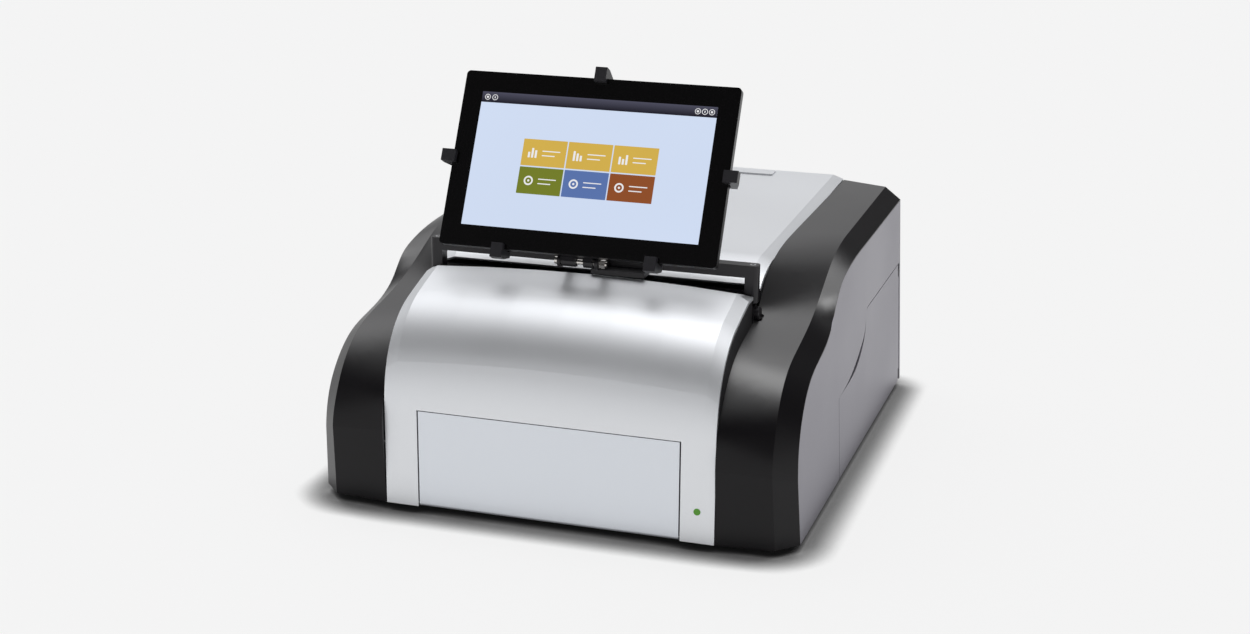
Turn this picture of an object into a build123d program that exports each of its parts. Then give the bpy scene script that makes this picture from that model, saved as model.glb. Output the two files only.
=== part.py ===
"""Microplate reader with a tablet on a tilting stand.

X runs across the instrument, -Y is the front, Z is up.  The origin lies on the surface that the
feet stand on, below the middle of the instrument.
"""
import os
from math import cos, radians, sin

from build123d import *

# ---------------------------------------------------------------- driving dimensions, mm
DEPTH = 536.0               # front of the cheeks to the rear edge of the covers
CHEEK_HEIGHT = 225.0        # base edge to the highest line of a cheek
BASE_HALF_WIDTH = 236.4     # middle of the instrument to a side panel, at the base edge
SIDE_DRAFT = 2.56           # degrees that a side panel leans inwards
RIDGE_DRAFT = 2.04          # degrees that the ridge of a cheek leans inwards
CHAMFER_WIDTH = 18.7        # from the ridge of a cheek to its side panel, at the base edge
FOOT_HEIGHT = 8.0
FOOT_RADIUS = 16.0
SHELL = 3.0                 # wall of the silver covers
CHEEK_WALL = 4.0
PANEL_THICKNESS = 3.0       # side panels and access door
PANEL_LIP = 1.2             # black lip around a side panel

COVER_HALF_WIDTH = 162.0
BEVEL_WIDTH = 11.5          # sloping strip along each side of a cover
COVER_SETBACK = 5.0         # front of the cheeks to the flat face of the front cover
COVER_NOSE = 99.0           # height at which the front cover leaves the vertical
RIM_SETBACK = 107.0         # flat face to the rim of the front cover
RIM_HEIGHT = 208.0
RIM_CROWN = 5.5             # rise of the rim from its corners to the middle
RIM_BEVEL_DROP = 6.5
BROW_RADIUS = 83.6          # tightest of the three arcs of the brow
CROWN_STRIPS = 6            # ruled strips across the crown
RIM_STRIP = 14.0            # strip behind the rim
EDGE_STRIP = 17.0           # the same strip at the covers' edges
RIM_STRIP_DROP = 4.0

REAR_SETBACK = 150.0        # flat face to the front edge of the rear cover
REAR_HEIGHT = 230.0
REAR_BEVEL_DROP = 4.0
REAR_LEDGE_HALF_WIDTH = 86.0
REAR_LEDGE_HEIGHT = 1.6

FRAME_THICKNESS = 4.0       # the two upright frame plates
FRAME_PROUD = 0.6           # they stand this much outside the covers' edges
PAN_THICKNESS = 3.0
REAR_PANEL_THICKNESS = 2.0
REAR_PANEL_RECESS = 5.0
SEAT_GAP = 0.2              # between a shell and what carries it
RUN_FIT = 0.05              # radial clearance of a running pin

DOOR_HALF_WIDTH = 128.0
DOOR_HEIGHT = 95.6
DOOR_THICKNESS = 6.0
DOOR_SIDE_GAP = 1.4
DOOR_TOP_GAP = 0.8
DOOR_BOTTOM_GAP = 0.4
DOOR_PIN_RADIUS = 1.5
DOOR_PIN_LENGTH = 14.0
DOOR_FRAME_WIDTH = 10.0
DOOR_FRAME_DEPTH = 9.0
LIGHT_X = 145.4
LIGHT_HEIGHT = 30.7
LIGHT_RADIUS = 3.3

TRAY_HALF_WIDTH = 76.0
TRAY_DEPTH = 100.0
TRAY_THICKNESS = 6.0
TRAY_SETBACK = 54.0         # flat face to the front edge of the tray
TRAY_HEIGHT = 46.0          # base edge to the underside of the tray
PLATE_LENGTH = 128.4        # nest for a standard 127.76 x 85.48 mm plate
PLATE_WIDTH = 86.1
NEST_DEPTH = 3.5
RAIL_X = 58.0
RAIL_WIDTH = 12.0
RAIL_HEIGHT = 8.0
RAIL_LENGTH = 250.0
RAIL_SETBACK = 14.0
BED_THICKNESS = 6.0
BED_HALF_WIDTH = 96.0
POST_HALF = 6.0             # half width of the bed's square posts
BLOCK_LENGTH = 30.0
BLOCK_WIDTH = 24.0
BLOCK_SPACING = 52.0
PULLEY_RADIUS = 8.0
PULLEY_TEETH = 16
PULLEY_X = 20.0
BELT_THICKNESS = 1.5
BELT_WIDTH = 8.0

ROD_RADIUS = 5.0
ROD_SPACING = 56.0
GANTRY_HEIGHT = 112.0       # base edge to the rods
GANTRY_SETBACK = 105.0      # flat face to the middle of the gantry
HEAD_WIDTH = 70.0
HEAD_HEIGHT = 34.0
DETECTOR_RADIUS = 15.0
DETECTOR_HEIGHT = 36.0
OBJECTIVE_RADIUS = 9.0
OBJECTIVE_LENGTH = 26.0

PIVOT_SETBACK = 131.0       # flat face to the axis of the stand's legs
PIVOT_HEIGHT = 184.0
BAR_HALF_LENGTH = 165.5
BAR_DEPTH = 12.5
BAR_HEIGHT = 12.0
BAR_TOP = 231.0             # base edge to the top of the crossbar
LEG_TONGUE = 5.0            # thickness of a leg's lower end
LUG_RADIUS = 8.0
PIVOT_PIN_RADIUS = 3.0
KNOB_RADIUS = 6.5
KNOB_WIDTH = 5.0

TILT_SETBACK = 92.0         # flat face to the tilt shaft
TILT_HEIGHT = 229.0
TILT_ANGLE = 27.6           # lean of the tablet from upright
SHAFT_RADIUS = 2.5
EAR_RADIUS = 6.0
EAR_X = 17.0
EAR_THICKNESS = 3.0

TABLET_WIDTH = 274.5
TABLET_HEIGHT = 173.0
TABLET_THICKNESS = 10.0
TABLET_CORNER = 4.0
TABLET_FACE = 16.6          # tilt axis to the tablet's front face
TABLET_FOOT = 2.7           # tilt axis to the tablet's lower edge
SCREEN_WIDTH = 234.6
SCREEN_HEIGHT = 132.0
GLASS_THICKNESS = 1.0
HOLDER_THICKNESS = 3.0
CLAW_WIDTH = 11.6
CLAW_LIP = 5.5              # thickness of a claw's lip in front of the glass
CLAW_GRIP = 4.5             # how far a lip reaches over the glass
CLAW_BACK = 9.5             # how far a claw stands out beyond the tablet's edge
BOTTOM_CLAW_X = 75.7
SIDE_CLAW_HEIGHT = 86.0     # above the tablet's lower edge
CLAW_GAP = 0.2

# Places that follow from them
INNER_FOOT, RIDGE_FOOT, OUTER_FOOT = 0.011, 0.020, 0.058
INNER_TOP, RIDGE_TOP, OUTER_TOP = 1.0, 0.982, 0.924
REAR_SLOPE = 50.0           # length of that slope
REAR_SLOPE_RISE = 16.0
REAR_LEVEL_RISE = 8.0       # from the end of the slope to the rear edge

# Access door on the right
ACCESS_SETBACK = 200.0      # flat face to the front edge of the access door
ACCESS_HEIGHT = 136.0
ACCESS_STEP = 84.0          # height at which its front edge meets the finger recess
ACCESS_GAP = 0.9
RECESS_LENGTH = 137.0       # finger recess, from the front edge to its upper end
RECESS_WIDTH = 5.0
BARREL_RADIUS = 3.0
BARREL_INSET = 9.0          # rear edge of the covers to the hinge
BARREL_FOOT = 14.0
BARREL_LENGTH = 108.0
ACCESS_LUG = 8.0
ACCESS_PIN_RADIUS = 1.3

# Plate door
DOOR_RIB = 4.0

# Chassis
VENT_PITCH = 9.0
VENT_WIDTH = 4.0
VENT_LENGTH = 46.0
VENT_X = -80.0
VENT_COUNT = 9
FAN_SLOTS = 7
FAN_X = 92.0
FAN_HEIGHT = 150.0
FAN_SIZE = 80.0
FAN_DEPTH = 25.0
FAN_BORE = 37.0
HUB_RADIUS = 16.0
INLET_X = -112.0
INLET_RISE = 44.0
INLET_WIDTH, INLET_HEIGHT = 30.0, 24.0
SWITCH_OFFSET = 44.0
SWITCH_WIDTH, SWITCH_HEIGHT = 14.0, 24.0
PORT_X = 20.0
PORT_RISE = 40.0
PORT_PITCH = 34.0
PORT_WIDTH, PORT_HEIGHT = 16.0, 12.0
PORT_COUNT = 3
SWITCH_AXIS_DEPTH = 5.0
ROCKER_RADIUS = 7.5

# Plate transport
BLOCK_FLANGE = 4.0
SPINDLE_RADIUS = 2.5
MOTOR_SIZE = 42.0
MOTOR_HEIGHT = 22.0

# Optics
GANTRY_BLOCK = 16.0
BULKHEAD_SETBACK = 325.0
BULKHEAD_THICKNESS = 3.0
BULKHEAD_HEIGHT = 176.0
WHEEL_X = 60.0
WHEEL_HEIGHT = 112.0
WHEEL_RADIUS = 42.0
WHEEL_THICKNESS = 6.0
FILTER_CIRCLE = 29.0
FILTER_RADIUS = 6.3         # for standard filters of 12.5 mm
FILTER_COUNT = 4
WHEEL_MOTOR = 35.0
WHEEL_MOTOR_LENGTH = 26.0
WHEEL_SHAFT = 2.5
LAMP_LENGTH = 58.0
LAMP_SIZE = 40.0
GUIDE_WIDTH = 14.0
GUIDE_HEIGHT = 40.0
PADDLE_THICKNESS = 4.0
PADDLE_HEIGHT = 28.0
BOARD_X0, BOARD_X1 = -20.0, 136.0
BOARD_SETBACK = 360.0
BOARD_DEPTH = 110.0
BOARD_RISE = 12.0

# Tablet stand
BAR_CORNER = 4.0
SCREW_RADIUS = 3.0
SCREW_DEPTH = 6.0           # how far a screw goes into a leg
STOP_X0, STOP_X1 = 7.0, 60.0
STOP_REACH = 18.0
STOP_THICKNESS = 4.5

# Tablet holder and tablet
PLATE_HALF = 58.0
PLATE_FOOT, PLATE_TOP = 22.0, 128.0
SLIDE_HALF = 6.0
SLIDE_DEPTH = 5.0
SIDE_REACH = 106.0
TOP_REACH = 70.0
GUIDE_WALL = 2.0
BUTTON_X = 104.0
BUTTON_LENGTH = 14.0
BUTTON_WIDTH = 3.0
BUTTON_PROUD = 0.9
BUTTON_DEPTH = 3.0
VOLUME_LENGTH = 22.0

# ---------------------------------------------------------------- places that follow from them
FRONT = -DEPTH / 2
REAR = DEPTH / 2
BASE = FOOT_HEIGHT
FACE = FRONT + COVER_SETBACK            # flat face of the front cover and the plate door
PAN_TOP = BASE + PAN_THICKNESS
FRAME_OUT = COVER_HALF_WIDTH + FRAME_PROUD
FRAME_IN = FRAME_OUT - FRAME_THICKNESS
CHEEK_IN = FRAME_OUT + SEAT_GAP
PANEL_Y = REAR - REAR_PANEL_RECESS      # rear face of the rear panel
PIVOT_Y = FACE + PIVOT_SETBACK
PIVOT_Z = BASE + PIVOT_HEIGHT
TILT_Y = FACE + TILT_SETBACK
TILT_Z = BASE + TILT_HEIGHT

# Side views of a cheek: shares of its depth and of its height, from the nose over the brow and the
# saddle to the swell.  The outline is upright below the first point and level behind the last.
INNER_CURVE = ((0.0, 0.33), (0.011, 0.48), (0.041, 0.58), (0.093, 0.69), (0.181, 0.76),
               (0.272, 0.822), (0.326, 0.92), (0.396, 0.978), (0.541, 1.0))
RIDGE_CURVE = ((0.004, 0.32), (0.019, 0.453), (0.049, 0.569), (0.103, 0.671), (0.196, 0.729),
               (0.319, 0.791), (0.396, 0.858), (0.470, 0.924), (0.634, 0.969))
OUTER_CURVE = ((0.047, 0.276), (0.060, 0.436), (0.086, 0.529), (0.142, 0.627), (0.233, 0.676),
               (0.336, 0.764), (0.373, 0.840), (0.418, 0.880), (0.616, 0.918))

# Headings at the ends of the brow's three tangent arcs, in degrees above level: nose, brow, rim.
BROW_HEADINGS = (90.0, 72.0, 17.4, 14.6)
# Front of the rear cover: shares of its front slope, back and up.
SLOPE_CURVE = ((0.34, 0.60), (0.75, 0.92))


def block(x0, x1, y0, y1, z0, z1):
    """Box between two corners."""
    return Pos((x0 + x1) / 2, (y0 + y1) / 2, (z0 + z1) / 2) * Box(x1 - x0, y1 - y0, z1 - z0)


def rod_x(x0, x1, y, z, radius):
    """Cylinder along X."""
    return Pos((x0 + x1) / 2, y, z) * Rot(0, 90, 0) * Cylinder(radius, x1 - x0)


def rod_y(x, y0, y1, z, radius):
    """Cylinder along Y."""
    return Pos(x, (y0 + y1) / 2, z) * Rot(90, 0, 0) * Cylinder(radius, y1 - y0)


def rod_z(x, y, z0, z1, radius):
    """Cylinder along Z."""
    return Pos(x, y, (z0 + z1) / 2) * Cylinder(radius, z1 - z0)


def prism_x(x0, x1, y, z, radius, sides):
    """Many-sided prism along X."""
    start = Plane(origin=(x0, y, z), x_dir=(0, 1, 0), z_dir=(1, 0, 0))
    return extrude(start * RegularPolygon(radius, sides), x1 - x0)


def mirrored(shape):
    """The same piece on the other side of the instrument."""
    return mirror(shape, about=Plane.YZ)


def side_plane(x, draft=0.0):
    """Plane seen from the right: local x is +Y, local y is up and leans inwards by the draft."""
    lean = radians(draft)
    return Plane(origin=(x, 0, BASE), x_dir=(0, 1, 0), z_dir=(cos(lean), 0, sin(lean)))


def inset(curve, distance, steps=10):
    """Points beside a curve, to its right for a curve that runs up and then back."""
    places = [(curve @ (i / steps), curve % (i / steps)) for i in range(steps + 1)]
    return [(place.X + way.Y * distance, place.Y - way.X * distance) for place, way in places]


def smooth(points, start=(0, 1), end=(1, 0)):
    """Curve through the points that leaves and arrives in the given directions."""
    return Spline(*points, tangents=[start, end], tangent_scalars=[1, 1])


def ring_face(*lines):
    """Face inside a closed ring of lines."""
    return make_face(Curve() + list(lines))


def save(name, shape):
    """Write one piece, or one group of like pieces, to its own file."""
    solids = shape.solids()
    piece = solids[0] if len(solids) == 1 else Compound(children=solids)
    export_step(piece, f"parts/{name}.step")


# ---------------------------------------------------------------- cheeks and side panels
CHEEK_EDGES = {
    "inner": (INNER_FOOT, INNER_CURVE, INNER_TOP),
    "ridge": (RIDGE_FOOT, RIDGE_CURVE, RIDGE_TOP),
    "outer": (OUTER_FOOT, OUTER_CURVE, OUTER_TOP),
}


def cheek_line(edge, wall=0.0, plain=False):
    """Foot, curve and top corner of a cheek's side view, moved inwards by a wall."""
    foot_share, shares, top_share = CHEEK_EDGES[edge]
    foot = FRONT + foot_share * DEPTH
    points = [(FRONT + back * DEPTH, up * CHEEK_HEIGHT) for back, up in shares]
    curve = smooth(points)
    if wall:
        places = inset(curve, wall)
        curve = Polyline(*places) if plain else smooth(places)
    corner = (REAR - wall, top_share * CHEEK_HEIGHT - wall)
    return (foot + wall, 0), curve, corner


def cheek_face(edge, inwards=0.0, below=0.0, plain=False):
    """Area inside one edge of a cheek, set back from that edge; plain has straight facets."""
    foot, curve, corner = cheek_line(edge, inwards, plain)
    front_foot, rear_foot = (foot[0], -below), (corner[0], -below)
    return ring_face(Line(front_foot, curve @ 0), curve, Line(curve @ 1, corner),
                     Line(corner, rear_foot), Line(rear_foot, front_foot))


def cheek_body(inwards=0.0, below=0.0, plain=False):
    """Body ruled from the inner edge over the ridge to the outer edge."""
    return loft([side_plane(CHEEK_IN) * cheek_face("inner", inwards, below, plain),
                 RIDGE * cheek_face("ridge", inwards, below, plain),
                 SIDE * cheek_face("outer", inwards, below, plain)], ruled=True)


SIDE = side_plane(BASE_HALF_WIDTH, SIDE_DRAFT)      # outer face of the right side panel
RIDGE = side_plane(BASE_HALF_WIDTH - CHAMFER_WIDTH, RIDGE_DRAFT)


def side_block(y0, y1, z0, z1, depth0, depth1):
    """Box behind the side panel's face, between two depths."""
    return SIDE * block(y0, y1, z0, z1, -depth1, -depth0)


def side_rod(y, z0, z1, depth, radius):
    """Cylinder that runs up along the side panel at a depth below its face."""
    return SIDE * (Pos(y, (z0 + z1) / 2, -depth) * Rot(90, 0, 0) * Cylinder(radius, z1 - z0))


def make_cheek():
    """Right cheek: ruled between its inner edge, its ridge and its outer edge."""
    below = 2.0
    shell = cheek_body() - cheek_body(CHEEK_WALL, below, True)
    shell -= extrude(side_plane(CHEEK_IN) * cheek_face("inner", CHEEK_WALL, below, True), -below)
    shell -= extrude(SIDE * cheek_face("outer", CHEEK_WALL, below, True), below)
    rebate = extrude(SIDE * cheek_face("outer", PANEL_LIP - SEAT_GAP), -PANEL_THICKNESS - SEAT_GAP)
    knob_room = rod_x(CHEEK_IN - 1, CHEEK_IN + KNOB_WIDTH + 2, PIVOT_Y, PIVOT_Z, KNOB_RADIUS + 1)
    return shell - rebate - knob_room


# ---------------------------------------------------------------- access door on the right

ACCESS_Y = FACE + ACCESS_SETBACK
ACCESS_HINGE_Y = REAR - BARREL_INSET
RECESS_Y = ACCESS_Y + RECESS_LENGTH


def recess_curve(bulge):
    """Finger recess along the door's corner, bulging outwards from the door's edge."""
    start = (ACCESS_Y, ACCESS_STEP)
    end = (RECESS_Y, ACCESS_HEIGHT - 2)
    middle = (RECESS_Y - 25 - bulge * 0.5, ACCESS_STEP + 15 + bulge)
    return Spline(start, middle, end, tangents=[(1, 0.02), (0.02, 1)])


def access_face():
    """Outline of the access door."""
    edge = recess_curve(0)
    rear = ACCESS_HINGE_Y - BARREL_RADIUS - ACCESS_GAP
    top_left = (RECESS_Y + 8, ACCESS_HEIGHT)
    return ring_face(Line((ACCESS_Y, DOOR_BOTTOM_GAP), edge @ 0), edge, Line(edge @ 1, top_left),
                     Line(top_left, (rear, ACCESS_HEIGHT)),
                     Line((rear, ACCESS_HEIGHT), (rear, DOOR_BOTTOM_GAP)),
                     Line((rear, DOOR_BOTTOM_GAP), (ACCESS_Y, DOOR_BOTTOM_GAP)))


def make_access_door():
    """Access door with its hinge barrel."""
    plate = extrude(SIDE * access_face(), -PANEL_THICKNESS)
    barrel = side_rod(ACCESS_HINGE_Y, BARREL_FOOT, BARREL_FOOT + BARREL_LENGTH, BARREL_RADIUS,
                      BARREL_RADIUS)
    web = side_block(ACCESS_HINGE_Y - BARREL_RADIUS - 2 * ACCESS_GAP, ACCESS_HINGE_Y, BARREL_FOOT,
                     BARREL_FOOT + BARREL_LENGTH, 0, PANEL_THICKNESS)
    bore = side_rod(ACCESS_HINGE_Y, BARREL_FOOT - 1, BARREL_FOOT + BARREL_LENGTH + 1, BARREL_RADIUS,
                    ACCESS_PIN_RADIUS + RUN_FIT)
    return plate + web + barrel - bore


def access_lug_heights():
    """Lower ends of the two lugs that hold the hinge pin."""
    return (BARREL_FOOT - SEAT_GAP - ACCESS_LUG, BARREL_FOOT + BARREL_LENGTH + SEAT_GAP)


def add_access_lugs(cheek):
    """Lugs on the cheek's rear wall for the hinge pin of the access door."""
    for z in access_lug_heights():
        arm = side_block(ACCESS_HINGE_Y, REAR - CHEEK_WALL + 1, z, z + ACCESS_LUG,
                         PANEL_THICKNESS + 2 * SEAT_GAP, 2 * BARREL_RADIUS)
        eye = side_rod(ACCESS_HINGE_Y, z, z + ACCESS_LUG, BARREL_RADIUS, BARREL_RADIUS)
        bore = side_rod(ACCESS_HINGE_Y, z - 1, z + ACCESS_LUG + 1, BARREL_RADIUS,
                        ACCESS_PIN_RADIUS + 0.01)
        cheek = cheek + (arm + eye) - bore
    return cheek


def make_access_pin():
    """One long pin through both lugs and the door's barrel."""
    low, high = access_lug_heights()
    return side_rod(ACCESS_HINGE_Y, low, high + ACCESS_LUG, BARREL_RADIUS, ACCESS_PIN_RADIUS)


def make_right_panel():
    """Right side panel around the access door and its finger recess."""
    panel = extrude(SIDE * cheek_face("outer", PANEL_LIP), -PANEL_THICKNESS)
    edge = recess_curve(ACCESS_GAP * 1.4)
    front, rear = ACCESS_Y - ACCESS_GAP, ACCESS_HINGE_Y + BARREL_RADIUS + ACCESS_GAP
    top = ACCESS_HEIGHT + ACCESS_GAP
    top_left = (RECESS_Y + 8 - ACCESS_GAP, top)
    start = (front, edge.position_at(0).Y + ACCESS_GAP)
    opening = ring_face(
        Line((front, -5), start), Line(start, edge @ 0), edge, Line(edge @ 1, top_left),
        Line(top_left, (rear, top)), Line((rear, top), (rear, -5)), Line((rear, -5), (front, -5)))
    inner, outer = recess_curve(0), recess_curve(RECESS_WIDTH)
    recess = ring_face(inner, outer)
    cut = 2 * PANEL_THICKNESS
    return (panel - extrude(SIDE * opening, cut, both=True) - extrude(SIDE * recess, cut, both=True))


# ---------------------------------------------------------------- silver covers
def brow_radii(rise):
    """Radii of the nose, the brow and the rim arcs, which end together at the rim."""
    turns = [radians(heading) for heading in BROW_HEADINGS]
    back = [sin(a) - sin(b) for a, b in zip(turns, turns[1:])]
    up = [cos(b) - cos(a) for a, b in zip(turns, turns[1:])]
    rest_back = RIM_SETBACK - BROW_RADIUS * back[1]
    rest_up = rise - COVER_NOSE - BROW_RADIUS * up[1]
    scale = back[0] * up[2] - back[2] * up[0]
    nose = (rest_back * up[2] - back[2] * rest_up) / scale
    return nose, BROW_RADIUS, (back[0] * rest_up - rest_back * up[0]) / scale


def front_line(rise, tail_drop, tail_length, wall=0.0):
    """Side view of the front cover: foot, arcs of the brow and rear end of the rim strip."""
    arcs = []
    start = (FACE + wall, COVER_NOSE)
    for radius, heading, new in zip(brow_radii(rise), BROW_HEADINGS, BROW_HEADINGS[1:]):
        a, b = radians(heading), radians(new)
        middle = (start[0] + (radius - wall) * sin(a), start[1] - (radius - wall) * cos(a))
        end = (middle[0] - (radius - wall) * sin(b), middle[1] + (radius - wall) * cos(b))
        arcs.append(TangentArc(start, end, tangent=(cos(a), sin(a))))
        start = end
    tail = (FACE + RIM_SETBACK + tail_length, rise - tail_drop - wall)
    return (FACE + wall, 0), arcs, tail


def front_section(rise, tail_drop, tail_length):
    """Wall of the front cover at one place across the instrument."""
    foot, arcs, tail = front_line(rise, tail_drop, tail_length)
    foot_in, arcs_in, tail_in = front_line(rise, tail_drop, tail_length, SHELL)
    return ring_face(Line(foot, arcs[0] @ 0), *arcs, Line(arcs[-1] @ 1, tail), Line(tail, tail_in),
                     Line(tail_in, arcs_in[-1] @ 1), *arcs_in, Line(arcs_in[0] @ 0, foot_in),
                     Line(foot_in, foot))


EDGE_LINE = (RIM_HEIGHT - RIM_BEVEL_DROP, 0.0, EDGE_STRIP)


def make_front_cover():
    """Crowned front cover with its sloping side strips and the opening for the plate door."""
    corner_x = COVER_HALF_WIDTH - BEVEL_WIDTH
    sections = [side_plane(-COVER_HALF_WIDTH) * front_section(*EDGE_LINE)]
    for i in range(CROWN_STRIPS + 1):
        share = 2 * i / CROWN_STRIPS - 1
        rise = RIM_HEIGHT + RIM_CROWN * (1 - share ** 2)
        sections.append(side_plane(share * corner_x) *
                        front_section(rise, RIM_STRIP_DROP, RIM_STRIP))
    sections.append(side_plane(COVER_HALF_WIDTH) * front_section(*EDGE_LINE))
    cover = loft(sections, ruled=True)
    half = DOOR_HALF_WIDTH + DOOR_SIDE_GAP
    top = BASE + DOOR_BOTTOM_GAP + DOOR_HEIGHT + DOOR_TOP_GAP
    opening = block(-half, half, FACE - 1, FACE + SHELL + 1, BASE - 1, top)
    light_bore = rod_y(LIGHT_X, FACE - 1, FACE + SHELL + 1, BASE + LIGHT_HEIGHT, LIGHT_RADIUS)
    return cover - opening - light_bore - door_pins(0.01)


def rear_line(drop, wall=0.0):
    """Side view of the rear cover: front lip, slope and rear corner."""
    lip = (FACE + REAR_SETBACK, REAR_HEIGHT - drop - REAR_LEVEL_RISE - REAR_SLOPE_RISE)
    points = [lip]
    points += [(lip[0] + back * REAR_SLOPE, lip[1] + up * REAR_SLOPE_RISE)
               for back, up in SLOPE_CURVE]
    points += [(lip[0] + REAR_SLOPE, lip[1] + REAR_SLOPE_RISE)]
    curve = smooth(points, start=(1, 0.9), end=(1, 0.03))
    if wall:
        curve = smooth(inset(curve, wall), start=(1, 0.9), end=(1, 0.03))
    return curve, (REAR, REAR_HEIGHT - drop - wall)


def rear_section(drop):
    """Wall of the rear cover at one place across the instrument."""
    curve, corner = rear_line(drop)
    curve_in, corner_in = rear_line(drop, SHELL)
    return ring_face(curve, Line(curve @ 1, corner), Line(corner, corner_in),
                     Line(corner_in, curve_in @ 1), curve_in, Line(curve_in @ 0, curve @ 0))


def make_rear_cover():
    """Rear top cover with its sloping side strips and the low ledge at its rear edge."""
    corner_x = COVER_HALF_WIDTH - BEVEL_WIDTH
    corner, edge = rear_section(0), rear_section(REAR_BEVEL_DROP)
    planes = [side_plane(x) for x in (-COVER_HALF_WIDTH, -corner_x, corner_x, COVER_HALF_WIDTH)]
    cover = loft([plane * face for plane, face in zip(planes, (edge, corner, corner, edge))],
                 ruled=True)
    top = BASE + REAR_HEIGHT
    ledge = block(-REAR_LEDGE_HALF_WIDTH, REAR_LEDGE_HALF_WIDTH, REAR - 26, REAR - 8,
                  top - SHELL / 2, top + REAR_LEDGE_HEIGHT - 0.6)
    return cover + ledge


# ---------------------------------------------------------------- plate door
DOOR_AXIS_Y = FACE + DOOR_THICKNESS / 2
DOOR_AXIS_Z = BASE + DOOR_BOTTOM_GAP + DOOR_THICKNESS / 2
DOOR_TOP = BASE + DOOR_BOTTOM_GAP + DOOR_HEIGHT
OPENING_HALF_WIDTH = DOOR_HALF_WIDTH + DOOR_SIDE_GAP
OPENING_TOP = DOOR_TOP + DOOR_TOP_GAP


def door_pins(clearance=0.0):
    """Two pins that carry the plate door at its lower corners."""
    inner = DOOR_HALF_WIDTH - DOOR_PIN_LENGTH / 2
    pin = rod_x(inner, inner + DOOR_PIN_LENGTH, DOOR_AXIS_Y, DOOR_AXIS_Z,
                DOOR_PIN_RADIUS + clearance)
    return pin + mirrored(pin)


def make_plate_door():
    """Flat door with a round lower edge that turns about the pins."""
    half = DOOR_HALF_WIDTH
    leaf = block(-half, half, FACE, FACE + DOOR_THICKNESS, DOOR_AXIS_Z, DOOR_TOP)
    leaf += rod_x(-half, half, DOOR_AXIS_Y, DOOR_AXIS_Z, DOOR_THICKNESS / 2)
    pocket_top, pocket_foot = DOOR_TOP - DOOR_FRAME_WIDTH, DOOR_AXIS_Z + DOOR_FRAME_WIDTH
    pocket = block(-half + DOOR_FRAME_WIDTH, half - DOOR_FRAME_WIDTH, FACE + SHELL,
                   FACE + DOOR_THICKNESS + 1, pocket_foot, pocket_top)
    for x in (-half / 3, half / 3):
        pocket -= block(x - DOOR_RIB / 2, x + DOOR_RIB / 2, FACE, FACE + DOOR_THICKNESS + 1,
                        pocket_foot, pocket_top)
    return leaf - pocket - door_pins(RUN_FIT)


def make_door_frame():
    """Black frame behind the front cover, around the plate opening."""
    front, back = FACE + SHELL + SEAT_GAP, FACE + SHELL + DOOR_FRAME_DEPTH
    outer = OPENING_HALF_WIDTH + DOOR_FRAME_WIDTH
    frame = block(-outer, outer, front, back, PAN_TOP, OPENING_TOP + DOOR_FRAME_WIDTH)
    frame = chamfer(frame.edges().group_by(Axis.Z)[-1].group_by(Axis.Y)[0], SHELL / 3)
    frame -= block(-OPENING_HALF_WIDTH, OPENING_HALF_WIDTH, front - 1, back + 1, PAN_TOP - 1,
                   OPENING_TOP)
    return frame - door_pins(0.01)


# ---------------------------------------------------------------- chassis
def make_base_pan():
    """Bottom plate with cut front corners and an upturned rear flange."""
    wing = BASE_HALF_WIDTH - CHEEK_WALL - 4
    shoulder = BASE_HALF_WIDTH - CHAMFER_WIDTH - 2
    front = FACE + SHELL + DOOR_FRAME_DEPTH + SEAT_GAP
    corner = FRONT + OUTER_FOOT * DEPTH + CHEEK_WALL + 3
    rear = PANEL_Y - REAR_PANEL_THICKNESS - SEAT_GAP
    outline = Polyline((-shoulder, front), (shoulder, front), (wing, corner), (wing, rear),
                       (-wing, rear), (-wing, corner), close=True)
    plate = extrude(Pos(0, 0, BASE) * make_face(outline), PAN_THICKNESS)
    lip = block(-FRAME_IN + 1, FRAME_IN - 1, FACE + SHELL + SEAT_GAP, front + 1, BASE, PAN_TOP)
    pin_end = DOOR_HALF_WIDTH + DOOR_PIN_LENGTH / 2 + 1
    lip -= block(-pin_end, pin_end, FACE, front, BASE - 1, PAN_TOP + 1)
    flange = block(-FRAME_IN + 2, FRAME_IN - 2, rear - PAN_THICKNESS, rear, BASE, PAN_TOP + 12)
    return plate + lip + flange


def foot_places():
    """Middles of the four feet."""
    x = BASE_HALF_WIDTH - 46
    return [(side * x, y) for side in (-1, 1) for y in (FRONT + 46, REAR - 46)]


def make_feet():
    """Round rubber feet below the base pan."""
    foot = rod_z(0, 0, 0, FOOT_HEIGHT, FOOT_RADIUS)
    return Compound(children=[Pos(x, y, 0) * foot for x, y in foot_places()])


def frame_lobe(curves, front, rear_point):
    """Part of a frame plate below one cover's edge."""
    foot_front, foot_rear = (front, PAN_THICKNESS), (rear_point[0], PAN_THICKNESS)
    return ring_face(Line(foot_front, curves[0] @ 0), *curves, Line(curves[-1] @ 1, rear_point),
                     Line(rear_point, foot_rear), Line(foot_rear, foot_front))


SADDLE_Z = PIVOT_Z - LUG_RADIUS - 2     # top of the frame plates between the covers


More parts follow.
